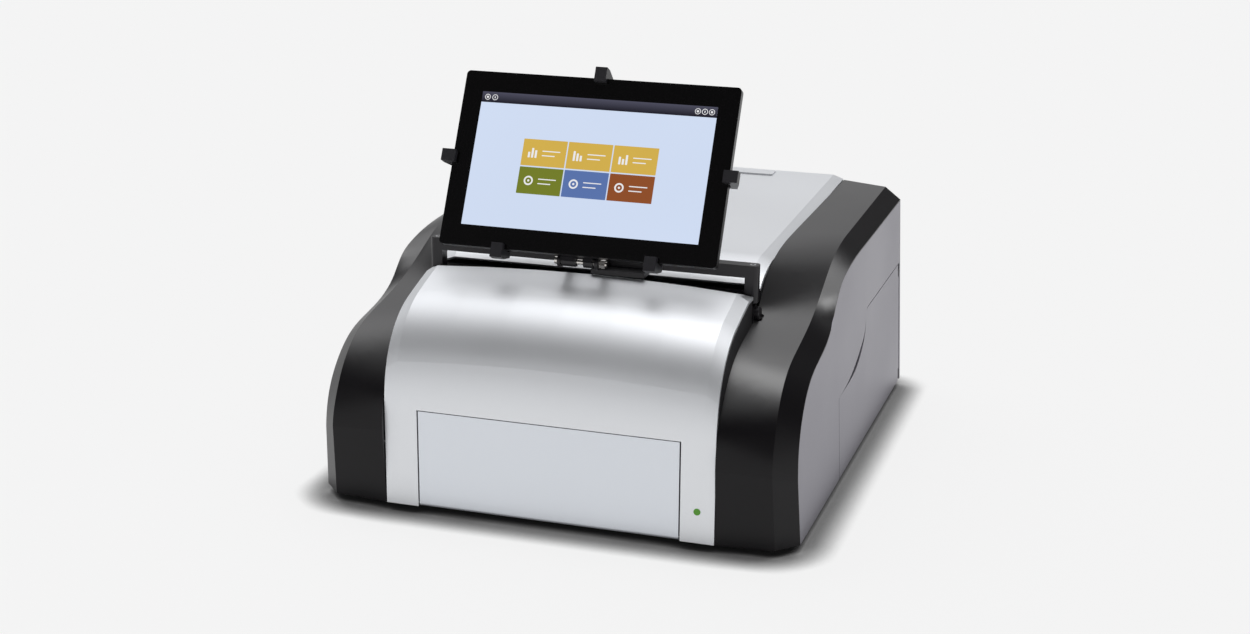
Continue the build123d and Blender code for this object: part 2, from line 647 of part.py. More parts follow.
def make_frame_plate():
    """Right frame plate: carries both covers, the cheek and the leg of the stand."""
    wall = SHELL + SEAT_GAP
    foot, brow, tail = front_line(*EDGE_LINE, wall)
    slope, corner = rear_line(REAR_BEVEL_DROP, wall)
    lip = slope @ 0
    rear_end = (PANEL_Y - REAR_PANEL_THICKNESS - SEAT_GAP, corner[1])
    plane = side_plane(FRAME_IN)
    plate = extrude(plane * frame_lobe(brow, foot[0], tail), FRAME_THICKNESS)
    plate += extrude(plane * frame_lobe([slope], lip.X, rear_end), FRAME_THICKNESS)
    plate += block(FRAME_IN, FRAME_OUT, tail[0] - 5, lip.X + 5, PAN_TOP, SADDLE_Z)
    plate -= block(FRAME_IN - 1, FRAME_OUT + 1, PIVOT_Y - BAR_DEPTH, PIVOT_Y + BAR_DEPTH,
                   SADDLE_Z, BASE + RIM_HEIGHT)
    plate += rod_x(FRAME_IN, FRAME_OUT, PIVOT_Y, PIVOT_Z, LUG_RADIUS)
    plate += block(FRAME_IN, FRAME_OUT, PIVOT_Y - LUG_RADIUS, PIVOT_Y + LUG_RADIUS,
                   SADDLE_Z - 1, PIVOT_Z)
    plate -= rod_x(FRAME_IN - 1, FRAME_OUT + 1, PIVOT_Y, PIVOT_Z, PIVOT_PIN_RADIUS + 0.01)
    return plate


def make_valley():
    """Black channel that closes the valley between the two covers."""
    half = FRAME_IN - SEAT_GAP
    leg_room = BAR_HALF_LENGTH - BAR_DEPTH - 1
    front, back = FACE + RIM_SETBACK + RIM_STRIP, FACE + REAR_SETBACK
    floor, under = SADDLE_Z, SHELL + SEAT_GAP
    front_top = BASE + RIM_HEIGHT - RIM_STRIP_DROP - under
    back_top = BASE + REAR_HEIGHT - REAR_LEVEL_RISE - REAR_SLOPE_RISE - REAR_BEVEL_DROP - under
    channel = block(-half, half, front - SHELL, back + SHELL, floor - SHELL, floor)
    channel += block(-half + BEVEL_WIDTH, half - BEVEL_WIDTH, front - SHELL, front, floor, front_top)
    channel += block(-half, half, back, back + SHELL, floor, back_top)
    for side in (-1, 1):
        x0, x1 = sorted((side * leg_room, side * (half + 1)))
        channel -= block(x0, x1, PIVOT_Y - BAR_DEPTH, PIVOT_Y + BAR_DEPTH, floor - SHELL - 1,
                         PIVOT_Z)
    return channel


FAN_Z = BASE + FAN_HEIGHT
INLET_Z = BASE + INLET_RISE
SWITCH_X = INLET_X + SWITCH_OFFSET
SWITCH_Z0 = INLET_Z - SWITCH_HEIGHT / 2
PORT_Z = BASE + PORT_RISE


def vent_slots(x, z, count):
    """Upright vent slots in the rear panel."""
    y = PANEL_Y - REAR_PANEL_THICKNESS / 2
    start = x - (count - 1) * VENT_PITCH / 2
    slot = Box(VENT_WIDTH, 4 * REAR_PANEL_THICKNESS, VENT_LENGTH)
    return [Pos(start + i * VENT_PITCH, y, z) * slot for i in range(count)]


def make_rear_panel():
    """Rear panel with vents, fan opening and the cut-outs of its fittings."""
    front = PANEL_Y - REAR_PANEL_THICKNESS
    top = BASE + REAR_HEIGHT - REAR_BEVEL_DROP - SHELL - SEAT_GAP
    panel = block(-FRAME_OUT, FRAME_OUT, front, PANEL_Y, BASE, top)
    cuts = vent_slots(VENT_X, FAN_Z, VENT_COUNT)
    cuts += vent_slots(FAN_X, FAN_Z, FAN_SLOTS)
    cuts.append(block(INLET_X - INLET_WIDTH / 2, INLET_X + INLET_WIDTH / 2, front - 1, PANEL_Y + 1,
                      INLET_Z - INLET_HEIGHT / 2, INLET_Z + INLET_HEIGHT / 2))
    cuts.append(block(SWITCH_X - SWITCH_WIDTH / 2, SWITCH_X + SWITCH_WIDTH / 2, front - 1,
                      PANEL_Y + 1, SWITCH_Z0, SWITCH_Z0 + SWITCH_HEIGHT))
    for i in range(PORT_COUNT):
        x = PORT_X + i * PORT_PITCH
        cuts.append(block(x - PORT_WIDTH / 2, x + PORT_WIDTH / 2, front - 1, PANEL_Y + 1,
                          PORT_Z - PORT_HEIGHT / 2, PORT_Z + PORT_HEIGHT / 2))
    for cut in cuts:
        panel -= cut
    return panel


def make_inlet():
    """Mains inlet: a cup with three blades, in the rear panel's cut-out."""
    y0, y1 = PANEL_Y - 22, PANEL_Y + 1.5
    half_w, half_h = INLET_WIDTH / 2 - SEAT_GAP, INLET_HEIGHT / 2 - SEAT_GAP
    cup = block(INLET_X - half_w, INLET_X + half_w, y0, y1, INLET_Z - half_h, INLET_Z + half_h)
    cup -= block(INLET_X - half_w + 2.5, INLET_X + half_w - 2.5, y0 + 4, y1 + 1,
                 INLET_Z - half_h + 2.5, INLET_Z + half_h - 2.5)
    blade = Box(1.5, 14, 4)
    for x, z in ((-7, -2), (7, -2), (0, 2.5)):
        cup += Pos(INLET_X + x, y0 + 10, INLET_Z + z) * blade
    return cup


SWITCH_AXIS_Y = PANEL_Y - SWITCH_AXIS_DEPTH


def make_switch_body():
    """Housing of the power switch, open to the rear."""
    half = SWITCH_WIDTH / 2 - SEAT_GAP
    z0, z1 = SWITCH_Z0 + SEAT_GAP, SWITCH_Z0 + SWITCH_HEIGHT - SEAT_GAP
    body = block(SWITCH_X - half, SWITCH_X + half, PANEL_Y - 20, PANEL_Y + 1, z0, z1)
    body -= block(SWITCH_X - half + 2, SWITCH_X + half - 2, PANEL_Y - 14, PANEL_Y + 2, z0 + 2, z1 - 2)
    return body - rod_x(SWITCH_X - half - 1, SWITCH_X + half + 1, SWITCH_AXIS_Y, INLET_Z, 1.5)


def make_rocker():
    """Power switch rocker with its trunnions."""
    half = SWITCH_WIDTH / 2 - 2 - 2 * SEAT_GAP
    lobe = Pos(SWITCH_X, SWITCH_AXIS_Y, INLET_Z) * Rot(0, 90, 0) * Cylinder(ROCKER_RADIUS, 2 * half)
    lobe &= block(SWITCH_X - half, SWITCH_X + half, SWITCH_AXIS_Y - 4, SWITCH_AXIS_Y + 5.5,
                  INLET_Z - 9, INLET_Z + 9)
    reach = SWITCH_WIDTH / 2 - SEAT_GAP
    return lobe + rod_x(SWITCH_X - reach, SWITCH_X + reach, SWITCH_AXIS_Y, INLET_Z, 1.5 - RUN_FIT)


def make_ports():
    """Data sockets in the rear panel, each an open shell."""
    ports = []
    for i in range(PORT_COUNT):
        x = PORT_X + i * PORT_PITCH
        half_w, half_h = PORT_WIDTH / 2 - SEAT_GAP, PORT_HEIGHT / 2 - SEAT_GAP
        shell = block(x - half_w, x + half_w, PANEL_Y - 14, PANEL_Y + 0.8, PORT_Z - half_h,
                      PORT_Z + half_h)
        shell -= block(x - half_w + 1, x + half_w - 1, PANEL_Y - 10, PANEL_Y + 2,
                       PORT_Z - half_h + 1, PORT_Z + half_h - 1)
        ports.append(shell)
    return Compound(children=ports)


FAN_Y = PANEL_Y - REAR_PANEL_THICKNESS - SEAT_GAP       # rear face of the fan


def make_fan_housing():
    """Square fan housing with its round duct, motor hub and three stays."""
    half = FAN_SIZE / 2
    y0, y1 = FAN_Y - FAN_DEPTH, FAN_Y
    housing = block(FAN_X - half, FAN_X + half, y0, y1, FAN_Z - half, FAN_Z + half)
    housing -= rod_y(FAN_X, y0 - 1, y1 + 1, FAN_Z, FAN_BORE)
    for angle in (90, 210, 330):
        stay = Box(FAN_BORE, 3, 4)
        stay = Pos(FAN_X, y0 + 1.5, FAN_Z) * Rot(0, angle, 0) * Pos(FAN_BORE / 2 + 0.3, 0, 0) * stay
        housing += stay
    hub = Plane(origin=(FAN_X, y0, FAN_Z), z_dir=(0, 1, 0)) * RegularPolygon(HUB_RADIUS, 8)
    housing += extrude(hub, 5)
    return housing + rod_y(FAN_X, y0, y0 + 16, FAN_Z, 2)


def make_fan_rotor():
    """Fan rotor: hub and seven pitched blades."""
    y0 = FAN_Y - FAN_DEPTH + 6
    hub = Plane(origin=(FAN_X, y0, FAN_Z), z_dir=(0, 1, 0)) * RegularPolygon(HUB_RADIUS, 14)
    rotor = extrude(hub, 15)
    length = FAN_BORE - HUB_RADIUS
    blade = Pos(HUB_RADIUS + length / 2 - 2, 0, 0) * Rot(38, 0, 0) * Box(length + 1, 1.6, 14)
    for i in range(7):
        rotor += Pos(FAN_X, y0 + 7.5, FAN_Z) * Rot(0, i * 360 / 7, 0) * blade
    return rotor - rod_y(FAN_X, y0 - 1, y0 + 11, FAN_Z, 2 + RUN_FIT)


# ---------------------------------------------------------------- plate transport
TRAY_Y0 = FACE + TRAY_SETBACK
TRAY_Z0 = BASE + TRAY_HEIGHT
RAIL_Y0 = FACE + RAIL_SETBACK
BLOCK_TOP = TRAY_Z0
RAIL_Z0 = TRAY_Z0 - BLOCK_FLANGE - RAIL_HEIGHT
BED_Z0 = RAIL_Z0 - BED_THICKNESS
BLOCK_Y = [TRAY_Y0 + TRAY_DEPTH + 28 + i * BLOCK_SPACING for i in range(2)]
ARM_END = BLOCK_Y[-1] + BLOCK_LENGTH / 2


def make_stage_bed():
    """Flat bed on six posts that carries the rails and the belt drive."""
    y1 = RAIL_Y0 + RAIL_LENGTH
    bed = block(-BED_HALF_WIDTH, BED_HALF_WIDTH, RAIL_Y0, y1, BED_Z0, BED_Z0 + BED_THICKNESS)
    for x in (-BED_HALF_WIDTH + 10, BED_HALF_WIDTH - 10):
        for y in (RAIL_Y0 + 10, (RAIL_Y0 + y1) / 2, y1 - 10):
            bed += block(x - POST_HALF, x + POST_HALF, y - POST_HALF, y + POST_HALF, PAN_TOP, BED_Z0)
    return bed - block(-RAIL_X + 20, PULLEY_X - 20, RAIL_Y0 + 40, y1 - 40, BED_Z0 - 1,
                       BED_Z0 + BED_THICKNESS + 1)


def make_rails():
    """Two linear rails."""
    rail = block(RAIL_X - RAIL_WIDTH / 2, RAIL_X + RAIL_WIDTH / 2, RAIL_Y0, RAIL_Y0 + RAIL_LENGTH,
                 RAIL_Z0, RAIL_Z0 + RAIL_HEIGHT)
    groove = block(0, RAIL_WIDTH / 4, RAIL_Y0 - 1, RAIL_Y0 + RAIL_LENGTH + 1,
                   RAIL_Z0 + RAIL_HEIGHT / 3, RAIL_Z0 + 2 * RAIL_HEIGHT / 3)
    rail -= Pos(RAIL_X + RAIL_WIDTH / 4 + 1, 0, 0) * groove
    rail -= Pos(RAIL_X - RAIL_WIDTH / 2 - 1, 0, 0) * groove
    return Compound(children=[rail, mirrored(rail)])


def make_bearing_blocks():
    """Four bearing blocks that straddle the rails under the tray's arms."""
    blocks = []
    for x in (-RAIL_X, RAIL_X):
        for y in BLOCK_Y:
            half = BLOCK_WIDTH / 2
            body = block(x - half, x + half, y - BLOCK_LENGTH / 2, y + BLOCK_LENGTH / 2,
                         RAIL_Z0 + 2, BLOCK_TOP)
            body -= block(x - RAIL_WIDTH / 2 - RUN_FIT, x + RAIL_WIDTH / 2 + RUN_FIT,
                          y - BLOCK_LENGTH, y + BLOCK_LENGTH, RAIL_Z0,
                          RAIL_Z0 + RAIL_HEIGHT + RUN_FIT)
            blocks.append(body)
    return Compound(children=blocks)


def make_tray():
    """Plate tray with a nest for one plate and two arms back to the bearing blocks."""
    y0, y1 = TRAY_Y0, TRAY_Y0 + TRAY_DEPTH
    z0, z1 = TRAY_Z0, TRAY_Z0 + TRAY_THICKNESS
    tray = block(-TRAY_HALF_WIDTH, TRAY_HALF_WIDTH, y0, y1, z0, z1)
    tray = fillet(tray.edges().filter_by(Axis.Z).group_by(Axis.Y)[0], 6)
    middle = (y0 + y1) / 2 - 2
    length, width = PLATE_LENGTH / 2, PLATE_WIDTH / 2
    tray -= block(-length, length, middle - width, middle + width, z1 - NEST_DEPTH, z1 + 1)
    tray -= block(-length + 6, length - 6, middle - width + 6, middle + width - 6, z0 - 1, z1)
    tray -= block(-14, 14, y0 - 1, y0 + 8, z0 - 1, z1 + 1)
    for x in (-RAIL_X, RAIL_X):
        tray += block(x - BLOCK_WIDTH / 2, x + BLOCK_WIDTH / 2, y1 - 1, ARM_END, z0, z1)
    tray += block(-RAIL_X, RAIL_X, ARM_END - 14, ARM_END, z0, z1)
    clamp = block(PULLEY_X - PULLEY_RADIUS - 4, PULLEY_X - PULLEY_RADIUS + 6, ARM_END - 12,
                  ARM_END - 2, BELT_Z + BELT_WIDTH / 2 + SEAT_GAP, z0)
    return tray + clamp


BELT_Z = RAIL_Z0 + BELT_WIDTH / 2 + 1
PULLEY_Y = (RAIL_Y0 + 12, RAIL_Y0 + RAIL_LENGTH - 14)


def make_belt():
    """Toothed belt loop round the drive and idler pulleys, lying on edge."""
    run = PULLEY_RADIUS + BELT_THICKNESS
    inner = PULLEY_RADIUS + RUN_FIT
    loop = None
    for sign, radius in ((1, run), (-1, inner)):
        body = block(PULLEY_X - radius, PULLEY_X + radius, PULLEY_Y[0], PULLEY_Y[1],
                     BELT_Z - BELT_WIDTH / 2, BELT_Z + BELT_WIDTH / 2)
        for y in PULLEY_Y:
            body += rod_z(PULLEY_X, y, BELT_Z - BELT_WIDTH / 2, BELT_Z + BELT_WIDTH / 2, radius)
        loop = body if sign > 0 else loop - body
    return loop


def make_pulley(y):
    """Toothed pulley on its upright spindle, which turns in the stage bed."""
    wheel = Pos(PULLEY_X, y, BELT_Z - BELT_WIDTH / 2) * RegularPolygon(PULLEY_RADIUS, PULLEY_TEETH)
    return extrude(wheel, BELT_WIDTH) + rod_z(PULLEY_X, y, BED_Z0 + SEAT_GAP, BELT_Z, SPINDLE_RADIUS)


def make_tray_motor():
    """Flat step motor of the tray drive, hung below the stage bed at the rear pulley."""
    half, y = MOTOR_SIZE / 2, PULLEY_Y[1]
    body = block(PULLEY_X - half, PULLEY_X + half, y - half, y + half, BED_Z0 - MOTOR_HEIGHT, BED_Z0)
    return chamfer(body.edges().filter_by(Axis.Z), 4)


# ---------------------------------------------------------------- optics
GANTRY_Y = TRAY_Y0 + TRAY_DEPTH / 2 - 2
GANTRY_Z = BASE + GANTRY_HEIGHT
ROD_Y = (GANTRY_Y - ROD_SPACING / 2, GANTRY_Y + ROD_SPACING / 2)
HEAD_Z0 = GANTRY_Z - HEAD_HEIGHT / 2


def add_gantry_boss(plate):
    """Boss on the inside of the right frame plate that clamps the gantry rods."""
    boss = block(FRAME_IN - GANTRY_BLOCK, FRAME_IN, ROD_Y[0] - 12, ROD_Y[1] + 12, GANTRY_Z - 12,
                 GANTRY_Z + 12)
    for y in ROD_Y:
        boss -= rod_x(FRAME_IN - GANTRY_BLOCK - 1, FRAME_IN, y, GANTRY_Z, ROD_RADIUS + 0.01)
    return plate + boss


def make_gantry_rods():
    """Two ground rods along X."""
    return Compound(children=[rod_x(-FRAME_IN, FRAME_IN, y, GANTRY_Z, ROD_RADIUS) for y in ROD_Y])


def make_optics_head():
    """Head that runs along the rods, with a cut-away middle and a seat for the detector."""
    half = HEAD_WIDTH / 2
    head = block(-half, half, ROD_Y[0] - 13, ROD_Y[1] + 13, HEAD_Z0, HEAD_Z0 + HEAD_HEIGHT)
    head = chamfer(head.edges().filter_by(Axis.Z), 6)
    for y in ROD_Y:
        head -= rod_x(-half - 1, half + 1, y, GANTRY_Z, ROD_RADIUS + RUN_FIT)
    return head - rod_z(0, GANTRY_Y, HEAD_Z0 - 1, HEAD_Z0 + HEAD_HEIGHT + 1, OBJECTIVE_RADIUS + 0.01)


def make_objective():
    """Lens barrel that hangs through the head above the plate."""
    return rod_z(0, GANTRY_Y, HEAD_Z0 - OBJECTIVE_LENGTH, HEAD_Z0 + HEAD_HEIGHT, OBJECTIVE_RADIUS)


def make_detector():
    """Photomultiplier housing on top of the head."""
    z0 = HEAD_Z0 + HEAD_HEIGHT
    can = rod_z(0, GANTRY_Y, z0 + 4, z0 + DETECTOR_HEIGHT, DETECTOR_RADIUS)
    flange = block(-DETECTOR_RADIUS - 5, DETECTOR_RADIUS + 5, GANTRY_Y - DETECTOR_RADIUS,
                   GANTRY_Y + DETECTOR_RADIUS, z0, z0 + 4)
    return can + flange


BULKHEAD_Y = FACE + BULKHEAD_SETBACK
WHEEL_Z = BASE + WHEEL_HEIGHT
WHEEL_Y1 = BULKHEAD_Y - WHEEL_MOTOR_LENGTH - 3      # rear face of the filter wheel
LIGHT_PATH_X = WHEEL_X + FILTER_CIRCLE


def light_path(y0, y1, clearance=0.0, x=LIGHT_PATH_X):
    """Square light path through a piece, around a filter."""
    half = FILTER_RADIUS + clearance
    return block(x - half, x + half, y0, y1, WHEEL_Z - half, WHEEL_Z + half)


def make_bulkhead():
    """Upright plate between the frame plates that carries lamp and filter wheel motor."""
    half = FRAME_IN - SEAT_GAP
    plate = block(-half, half, BULKHEAD_Y, BULKHEAD_Y + BULKHEAD_THICKNESS, PAN_TOP,
                  BASE + BULKHEAD_HEIGHT)
    plate -= block(-half + 24, -14, BULKHEAD_Y - 1, BULKHEAD_Y + BULKHEAD_THICKNESS + 1,
                   PAN_TOP + 26, BASE + BULKHEAD_HEIGHT - 30)
    return plate - light_path(BULKHEAD_Y - 1, BULKHEAD_Y + BULKHEAD_THICKNESS + 1, 3)


def make_wheel_motor():
    """Step motor of the filter wheel, with its round nose and shaft."""
    half, front = WHEEL_MOTOR / 2, BULKHEAD_Y - WHEEL_MOTOR_LENGTH
    motor = block(WHEEL_X - half, WHEEL_X + half, front, BULKHEAD_Y, WHEEL_Z - half, WHEEL_Z + half)
    motor = chamfer(motor.edges().filter_by(Axis.Y), 4)
    motor -= light_path(front - 1, BULKHEAD_Y + 1, 2)
    motor += rod_y(WHEEL_X, front - 2.8, front, WHEEL_Z, 9)
    return motor + rod_y(WHEEL_X, WHEEL_Y1 - WHEEL_THICKNESS - 2, front, WHEEL_Z, WHEEL_SHAFT)


def filter_ring(radius, y0, y1):
    """One cylinder at each filter place of the wheel."""
    rods = []
    for i in range(FILTER_COUNT):
        angle = radians(360 / FILTER_COUNT * i)
        rods.append(rod_y(WHEEL_X + FILTER_CIRCLE * cos(angle), y0, y1,
                          WHEEL_Z + FILTER_CIRCLE * sin(angle), radius))
    return rods


def make_filter_wheel():
    """Eight-sided filter wheel with a bore for each filter."""
    y0, y1 = WHEEL_Y1 - WHEEL_THICKNESS, WHEEL_Y1
    outline = Plane(origin=(WHEEL_X, y0, WHEEL_Z), z_dir=(0, 1, 0)) * RegularPolygon(WHEEL_RADIUS, 8)
    wheel = extrude(outline, WHEEL_THICKNESS)
    for seat in filter_ring(FILTER_RADIUS, y0 - 1, y1 + 1):
        wheel -= seat
    return wheel - rod_y(WHEEL_X, y0 - 1, y1 + 1, WHEEL_Z, WHEEL_SHAFT + RUN_FIT)


def make_filters():
    """Glass filters in the wheel's seats."""
    return Compound(children=filter_ring(FILTER_RADIUS - 0.05, WHEEL_Y1 - 4.5, WHEEL_Y1 - 1.5))


def make_lamp():
    """Finned lamp housing behind the bulkhead, in line with a filter."""
    y0, half = BULKHEAD_Y + BULKHEAD_THICKNESS, LAMP_SIZE / 2
    lamp = block(LIGHT_PATH_X - half, LIGHT_PATH_X + half, y0, y0 + LAMP_LENGTH, WHEEL_Z - half,
                 WHEEL_Z + half)
    for i in range(5):
        y = y0 + 14 + i * 8
        lamp -= block(LIGHT_PATH_X - half - 1, LIGHT_PATH_X + half + 1, y, y + 4,
                      WHEEL_Z + half - 9, WHEEL_Z + half + 1)
    return lamp - light_path(y0 - 1, y0 + 10)


GUIDE_X0 = LIGHT_PATH_X - 16
GUIDE_Y = WHEEL_Y1 - WHEEL_THICKNESS - 4 - GUIDE_WIDTH / 2


def make_paddle_guide():
    """Guide that holds the filter paddle in the light path, fixed to the right frame plate."""
    guide = block(GUIDE_X0, FRAME_IN, GUIDE_Y - GUIDE_WIDTH / 2, GUIDE_Y + GUIDE_WIDTH / 2,
                  WHEEL_Z - GUIDE_HEIGHT / 2, WHEEL_Z + GUIDE_HEIGHT / 2)
    guide -= paddle_slot(GUIDE_X0 + 4, FRAME_IN + 1)
    return guide - light_path(GUIDE_Y - GUIDE_WIDTH, GUIDE_Y + GUIDE_WIDTH)


def paddle_slot(x0, x1):
    """Slot in which the filter paddle slides."""
    half_y, half_z = PADDLE_THICKNESS / 2 + RUN_FIT, PADDLE_HEIGHT / 2 + RUN_FIT
    return block(x0, x1, GUIDE_Y - half_y, GUIDE_Y + half_y, WHEEL_Z - half_z, WHEEL_Z + half_z)


def make_filter_paddle():
    """Filter paddle: blade with two windows and a grip outside the frame plate."""
    half_y, half_z = PADDLE_THICKNESS / 2, PADDLE_HEIGHT / 2
    x1 = FRAME_OUT + SEAT_GAP
    blade = block(GUIDE_X0 + 5, x1 + 1, GUIDE_Y - half_y, GUIDE_Y + half_y, WHEEL_Z - half_z,
                  WHEEL_Z + half_z)
    for x in (LIGHT_PATH_X, LIGHT_PATH_X + 30):
        blade -= light_path(GUIDE_Y - half_y - 1, GUIDE_Y + half_y + 1, 0, x)
    grip = block(x1, x1 + 14, GUIDE_Y - 7, GUIDE_Y + 7, WHEEL_Z - half_z, WHEEL_Z + half_z)
    return blade + fillet(grip.edges().filter_by(Axis.Z).group_by(Axis.X)[-1], 4)


BOARD_Z = PAN_TOP + BOARD_RISE


def make_board():
    """Main circuit board with its larger components, on four stand-offs."""
    y0 = FACE + BOARD_SETBACK
    y1 = y0 + BOARD_DEPTH
    board = block(BOARD_X0, BOARD_X1, y0, y1, BOARD_Z, BOARD_Z + 1.6)
    for x in (BOARD_X0 + 6, BOARD_X1 - 6):
        for y in (y0 + 6, y1 - 6):
            board += block(x - 3, x + 3, y - 3, y + 3, PAN_TOP, BOARD_Z)
    for i in range(4):
        x = BOARD_X0 + 24 + i * 32
        board += block(x, x + 18, y0 + 24, y0 + 42, BOARD_Z + 1, BOARD_Z + 4)
        board += block(x, x + 20, y0 + 66, y0 + 76, BOARD_Z + 1, BOARD_Z + 11)
    return board


def make_power_supply():
    """Power supply in its folded case, with a row of vents along its top."""
    x0, x1 = -FRAME_IN + 6, -FRAME_IN + 104
    y0, y1 = FACE + 372, PANEL_Y - 28
    case = block(x0, x1, y0, y1, PAN_TOP, PAN_TOP + 46)
    case = chamfer(case.edges().filter_by(Axis.Y).group_by(Axis.Z)[-1], 3)
    for i in range(6):
        y = y0 + 20 + i * 14
        case -= block(x0 + 16, x1 - 16, y, y + 5, PAN_TOP + 40, PAN_TOP + 50)
    return case


# ---------------------------------------------------------------- tablet stand
BAR_Y0, BAR_Y1 = PIVOT_Y - BAR_DEPTH / 2, PIVOT_Y + BAR_DEPTH / 2
BAR_Z1 = BASE + BAR_TOP
BAR_Z0 = BAR_Z1 - BAR_HEIGHT
LEG_IN = BAR_HALF_LENGTH - BAR_DEPTH
LEG_WAIST = PIVOT_Z + LUG_RADIUS + 3


def make_crossbar():
    """Bar across the instrument with round corners and a screw hole at each end."""
    bar = block(-BAR_HALF_LENGTH, BAR_HALF_LENGTH, BAR_Y0, BAR_Y1, BAR_Z0, BAR_Z1)
    bar = fillet(bar.edges().filter_by(Axis.Z), BAR_CORNER)
    for x in (-1, 1):
        bar -= screw_shape(x * (LEG_IN + BAR_DEPTH / 2), SEAT_GAP / 2)
    return bar


def screw_shape(x, clearance=0.0):
    """Socket set screw down through the bar into a leg."""
    return rod_z(x, PIVOT_Y, BAR_Z0 - SCREW_DEPTH - clearance, BAR_Z1, SCREW_RADIUS + clearance)


def make_bar_screws():
    """The two screws on the ends of the crossbar."""
    screws = []
    for x in (-1, 1):
        place = x * (LEG_IN + BAR_DEPTH / 2)
        socket = Pos(place, PIVOT_Y, BAR_Z1 - 1) * extrude(RegularPolygon(SCREW_RADIUS / 2, 6), 3)
        screws.append(screw_shape(place) - socket)
    return Compound(children=screws)


def make_legs():
    """Two legs: square above, and a thin round-ended tongue inside each frame plate."""
    top = block(LEG_IN, BAR_HALF_LENGTH, BAR_Y0, BAR_Y1, LEG_WAIST, BAR_Z0)
    outer = top.edges().filter_by(Axis.Z).group_by(Axis.X)[-1]
    leg = fillet(outer, BAR_CORNER)
    x1 = FRAME_IN - SEAT_GAP
    x0 = x1 - LEG_TONGUE
    leg += block(x0, x1, BAR_Y0, BAR_Y1, PIVOT_Z, BAR_Z0)
    leg += rod_x(x0, x1, PIVOT_Y, PIVOT_Z, BAR_DEPTH / 2)
    leg -= rod_x(x0 - 1, x1 + 1, PIVOT_Y, PIVOT_Z, PIVOT_PIN_RADIUS + RUN_FIT)
    leg -= screw_shape(LEG_IN + BAR_DEPTH / 2, SEAT_GAP / 2)
    return Compound(children=[leg, mirrored(leg)])


def make_pivots():
    """Pivot pins of the legs, each with a round knob outside the frame plate."""
    x0 = FRAME_IN - SEAT_GAP - LEG_TONGUE - 1.5
    x1 = FRAME_OUT + 0.1
    pin = rod_x(x0, x1 + 1, PIVOT_Y, PIVOT_Z, PIVOT_PIN_RADIUS)
    knob = rod_x(x1, x1 + KNOB_WIDTH, PIVOT_Y, PIVOT_Z, KNOB_RADIUS)
    knob = chamfer(knob.edges().group_by(Axis.X)[-1], 1)
    pivot = pin + knob
    return Compound(children=[pivot, mirrored(pivot)])


def make_tilt_bracket():
    """Bracket on the crossbar: two ears for the tilt shaft and a tab below the bar."""
    plate = block(-EAR_X - EAR_THICKNESS, EAR_X + EAR_THICKNESS, BAR_Y0 - 4, BAR_Y0, BAR_Z0, BAR_Z1)
    for side in (-1, 1):
        x0, x1 = sorted((side * EAR_X, side * (EAR_X + EAR_THICKNESS)))
        plate += rod_x(x0, x1, TILT_Y, TILT_Z, EAR_RADIUS)
        arm = extrude(side_plane(x0) * ring_face(
            Line((TILT_Y, TILT_Z - BASE + EAR_RADIUS), (BAR_Y0, BAR_Z1 - BASE)),
            Line((BAR_Y0, BAR_Z1 - BASE), (BAR_Y0, BAR_Z0 - BASE)),
            Line((BAR_Y0, BAR_Z0 - BASE), (TILT_Y, TILT_Z - BASE - EAR_RADIUS)),
            Line((TILT_Y, TILT_Z - BASE - EAR_RADIUS), (TILT_Y, TILT_Z - BASE + EAR_RADIUS))),
            x1 - x0)
        plate += arm
    bore = rod_x(-EAR_X - EAR_THICKNESS - 1, EAR_X + EAR_THICKNESS + 1, TILT_Y, TILT_Z,
                 SHAFT_RADIUS + 0.01)
    tab = block(STOP_X0, STOP_X1, BAR_Y0 - STOP_REACH, BAR_Y1, BAR_Z0 - STOP_THICKNESS, BAR_Z0)
    return plate + tab - bore


def make_tilt_shaft():
    """Tilt shaft with its cap at the left end."""
    left, right = -EAR_X - EAR_THICKNESS, EAR_X + EAR_THICKNESS
    shaft = rod_x(left - 1, right + 8, TILT_Y, TILT_Z, SHAFT_RADIUS)
    cap = rod_x(left - 3.5, left - 0.05, TILT_Y, TILT_Z, 3.6)
    return shaft + cap


def make_tilt_nuts():
    """Two nuts on the right end of the tilt shaft."""
    right = EAR_X + EAR_THICKNESS
    nuts = []
    for offset, radius, width in ((0.05, 4.0, 2.6), (3.0, 4.4, 3.6)):
        nut = side_plane(right + offset) * Pos(TILT_Y, TILT_Z - BASE, 0) * RegularPolygon(radius, 6)
        nuts.append(extrude(nut, width) - rod_x(right, right + 10, TILT_Y, TILT_Z,
                                                SHAFT_RADIUS + 0.01))
    return Compound(children=nuts)


# ---------------------------------------------------------------- tablet holder and tablet
# These pieces are laid out upright, with the tilt axis along X through the origin, and then leant.
TABLET_REAR = -TABLET_FACE + TABLET_THICKNESS
HOLDER_Y0 = TABLET_REAR + CLAW_GAP
HOLDER_Y1 = HOLDER_Y0 + HOLDER_THICKNESS
TABLET_Z0, TABLET_Z1 = TABLET_FOOT, TABLET_FOOT + TABLET_HEIGHT
TABLET_HALF = TABLET_WIDTH / 2
CLAW_Y0 = -TABLET_FACE - CLAW_GAP - CLAW_LIP
SIDE_CLAW_Z = TABLET_Z0 + SIDE_CLAW_HEIGHT
CLAW_Y1 = HOLDER_Y1 + SLIDE_DEPTH


def leant(shape):
    """Lean an upright piece back about the tilt axis and put it on that axis."""
    return Pos(0, TILT_Y, TILT_Z) * Rot(-TILT_ANGLE, 0, 0) * shape


def slide_bar(length, clearance=0.0):
    """Slide of a claw behind the holder plate, from the origin along +Z."""
    half = SLIDE_HALF + clearance
    return block(-half, half, HOLDER_Y1 - clearance, HOLDER_Y1 + SLIDE_DEPTH + clearance, 0, length)


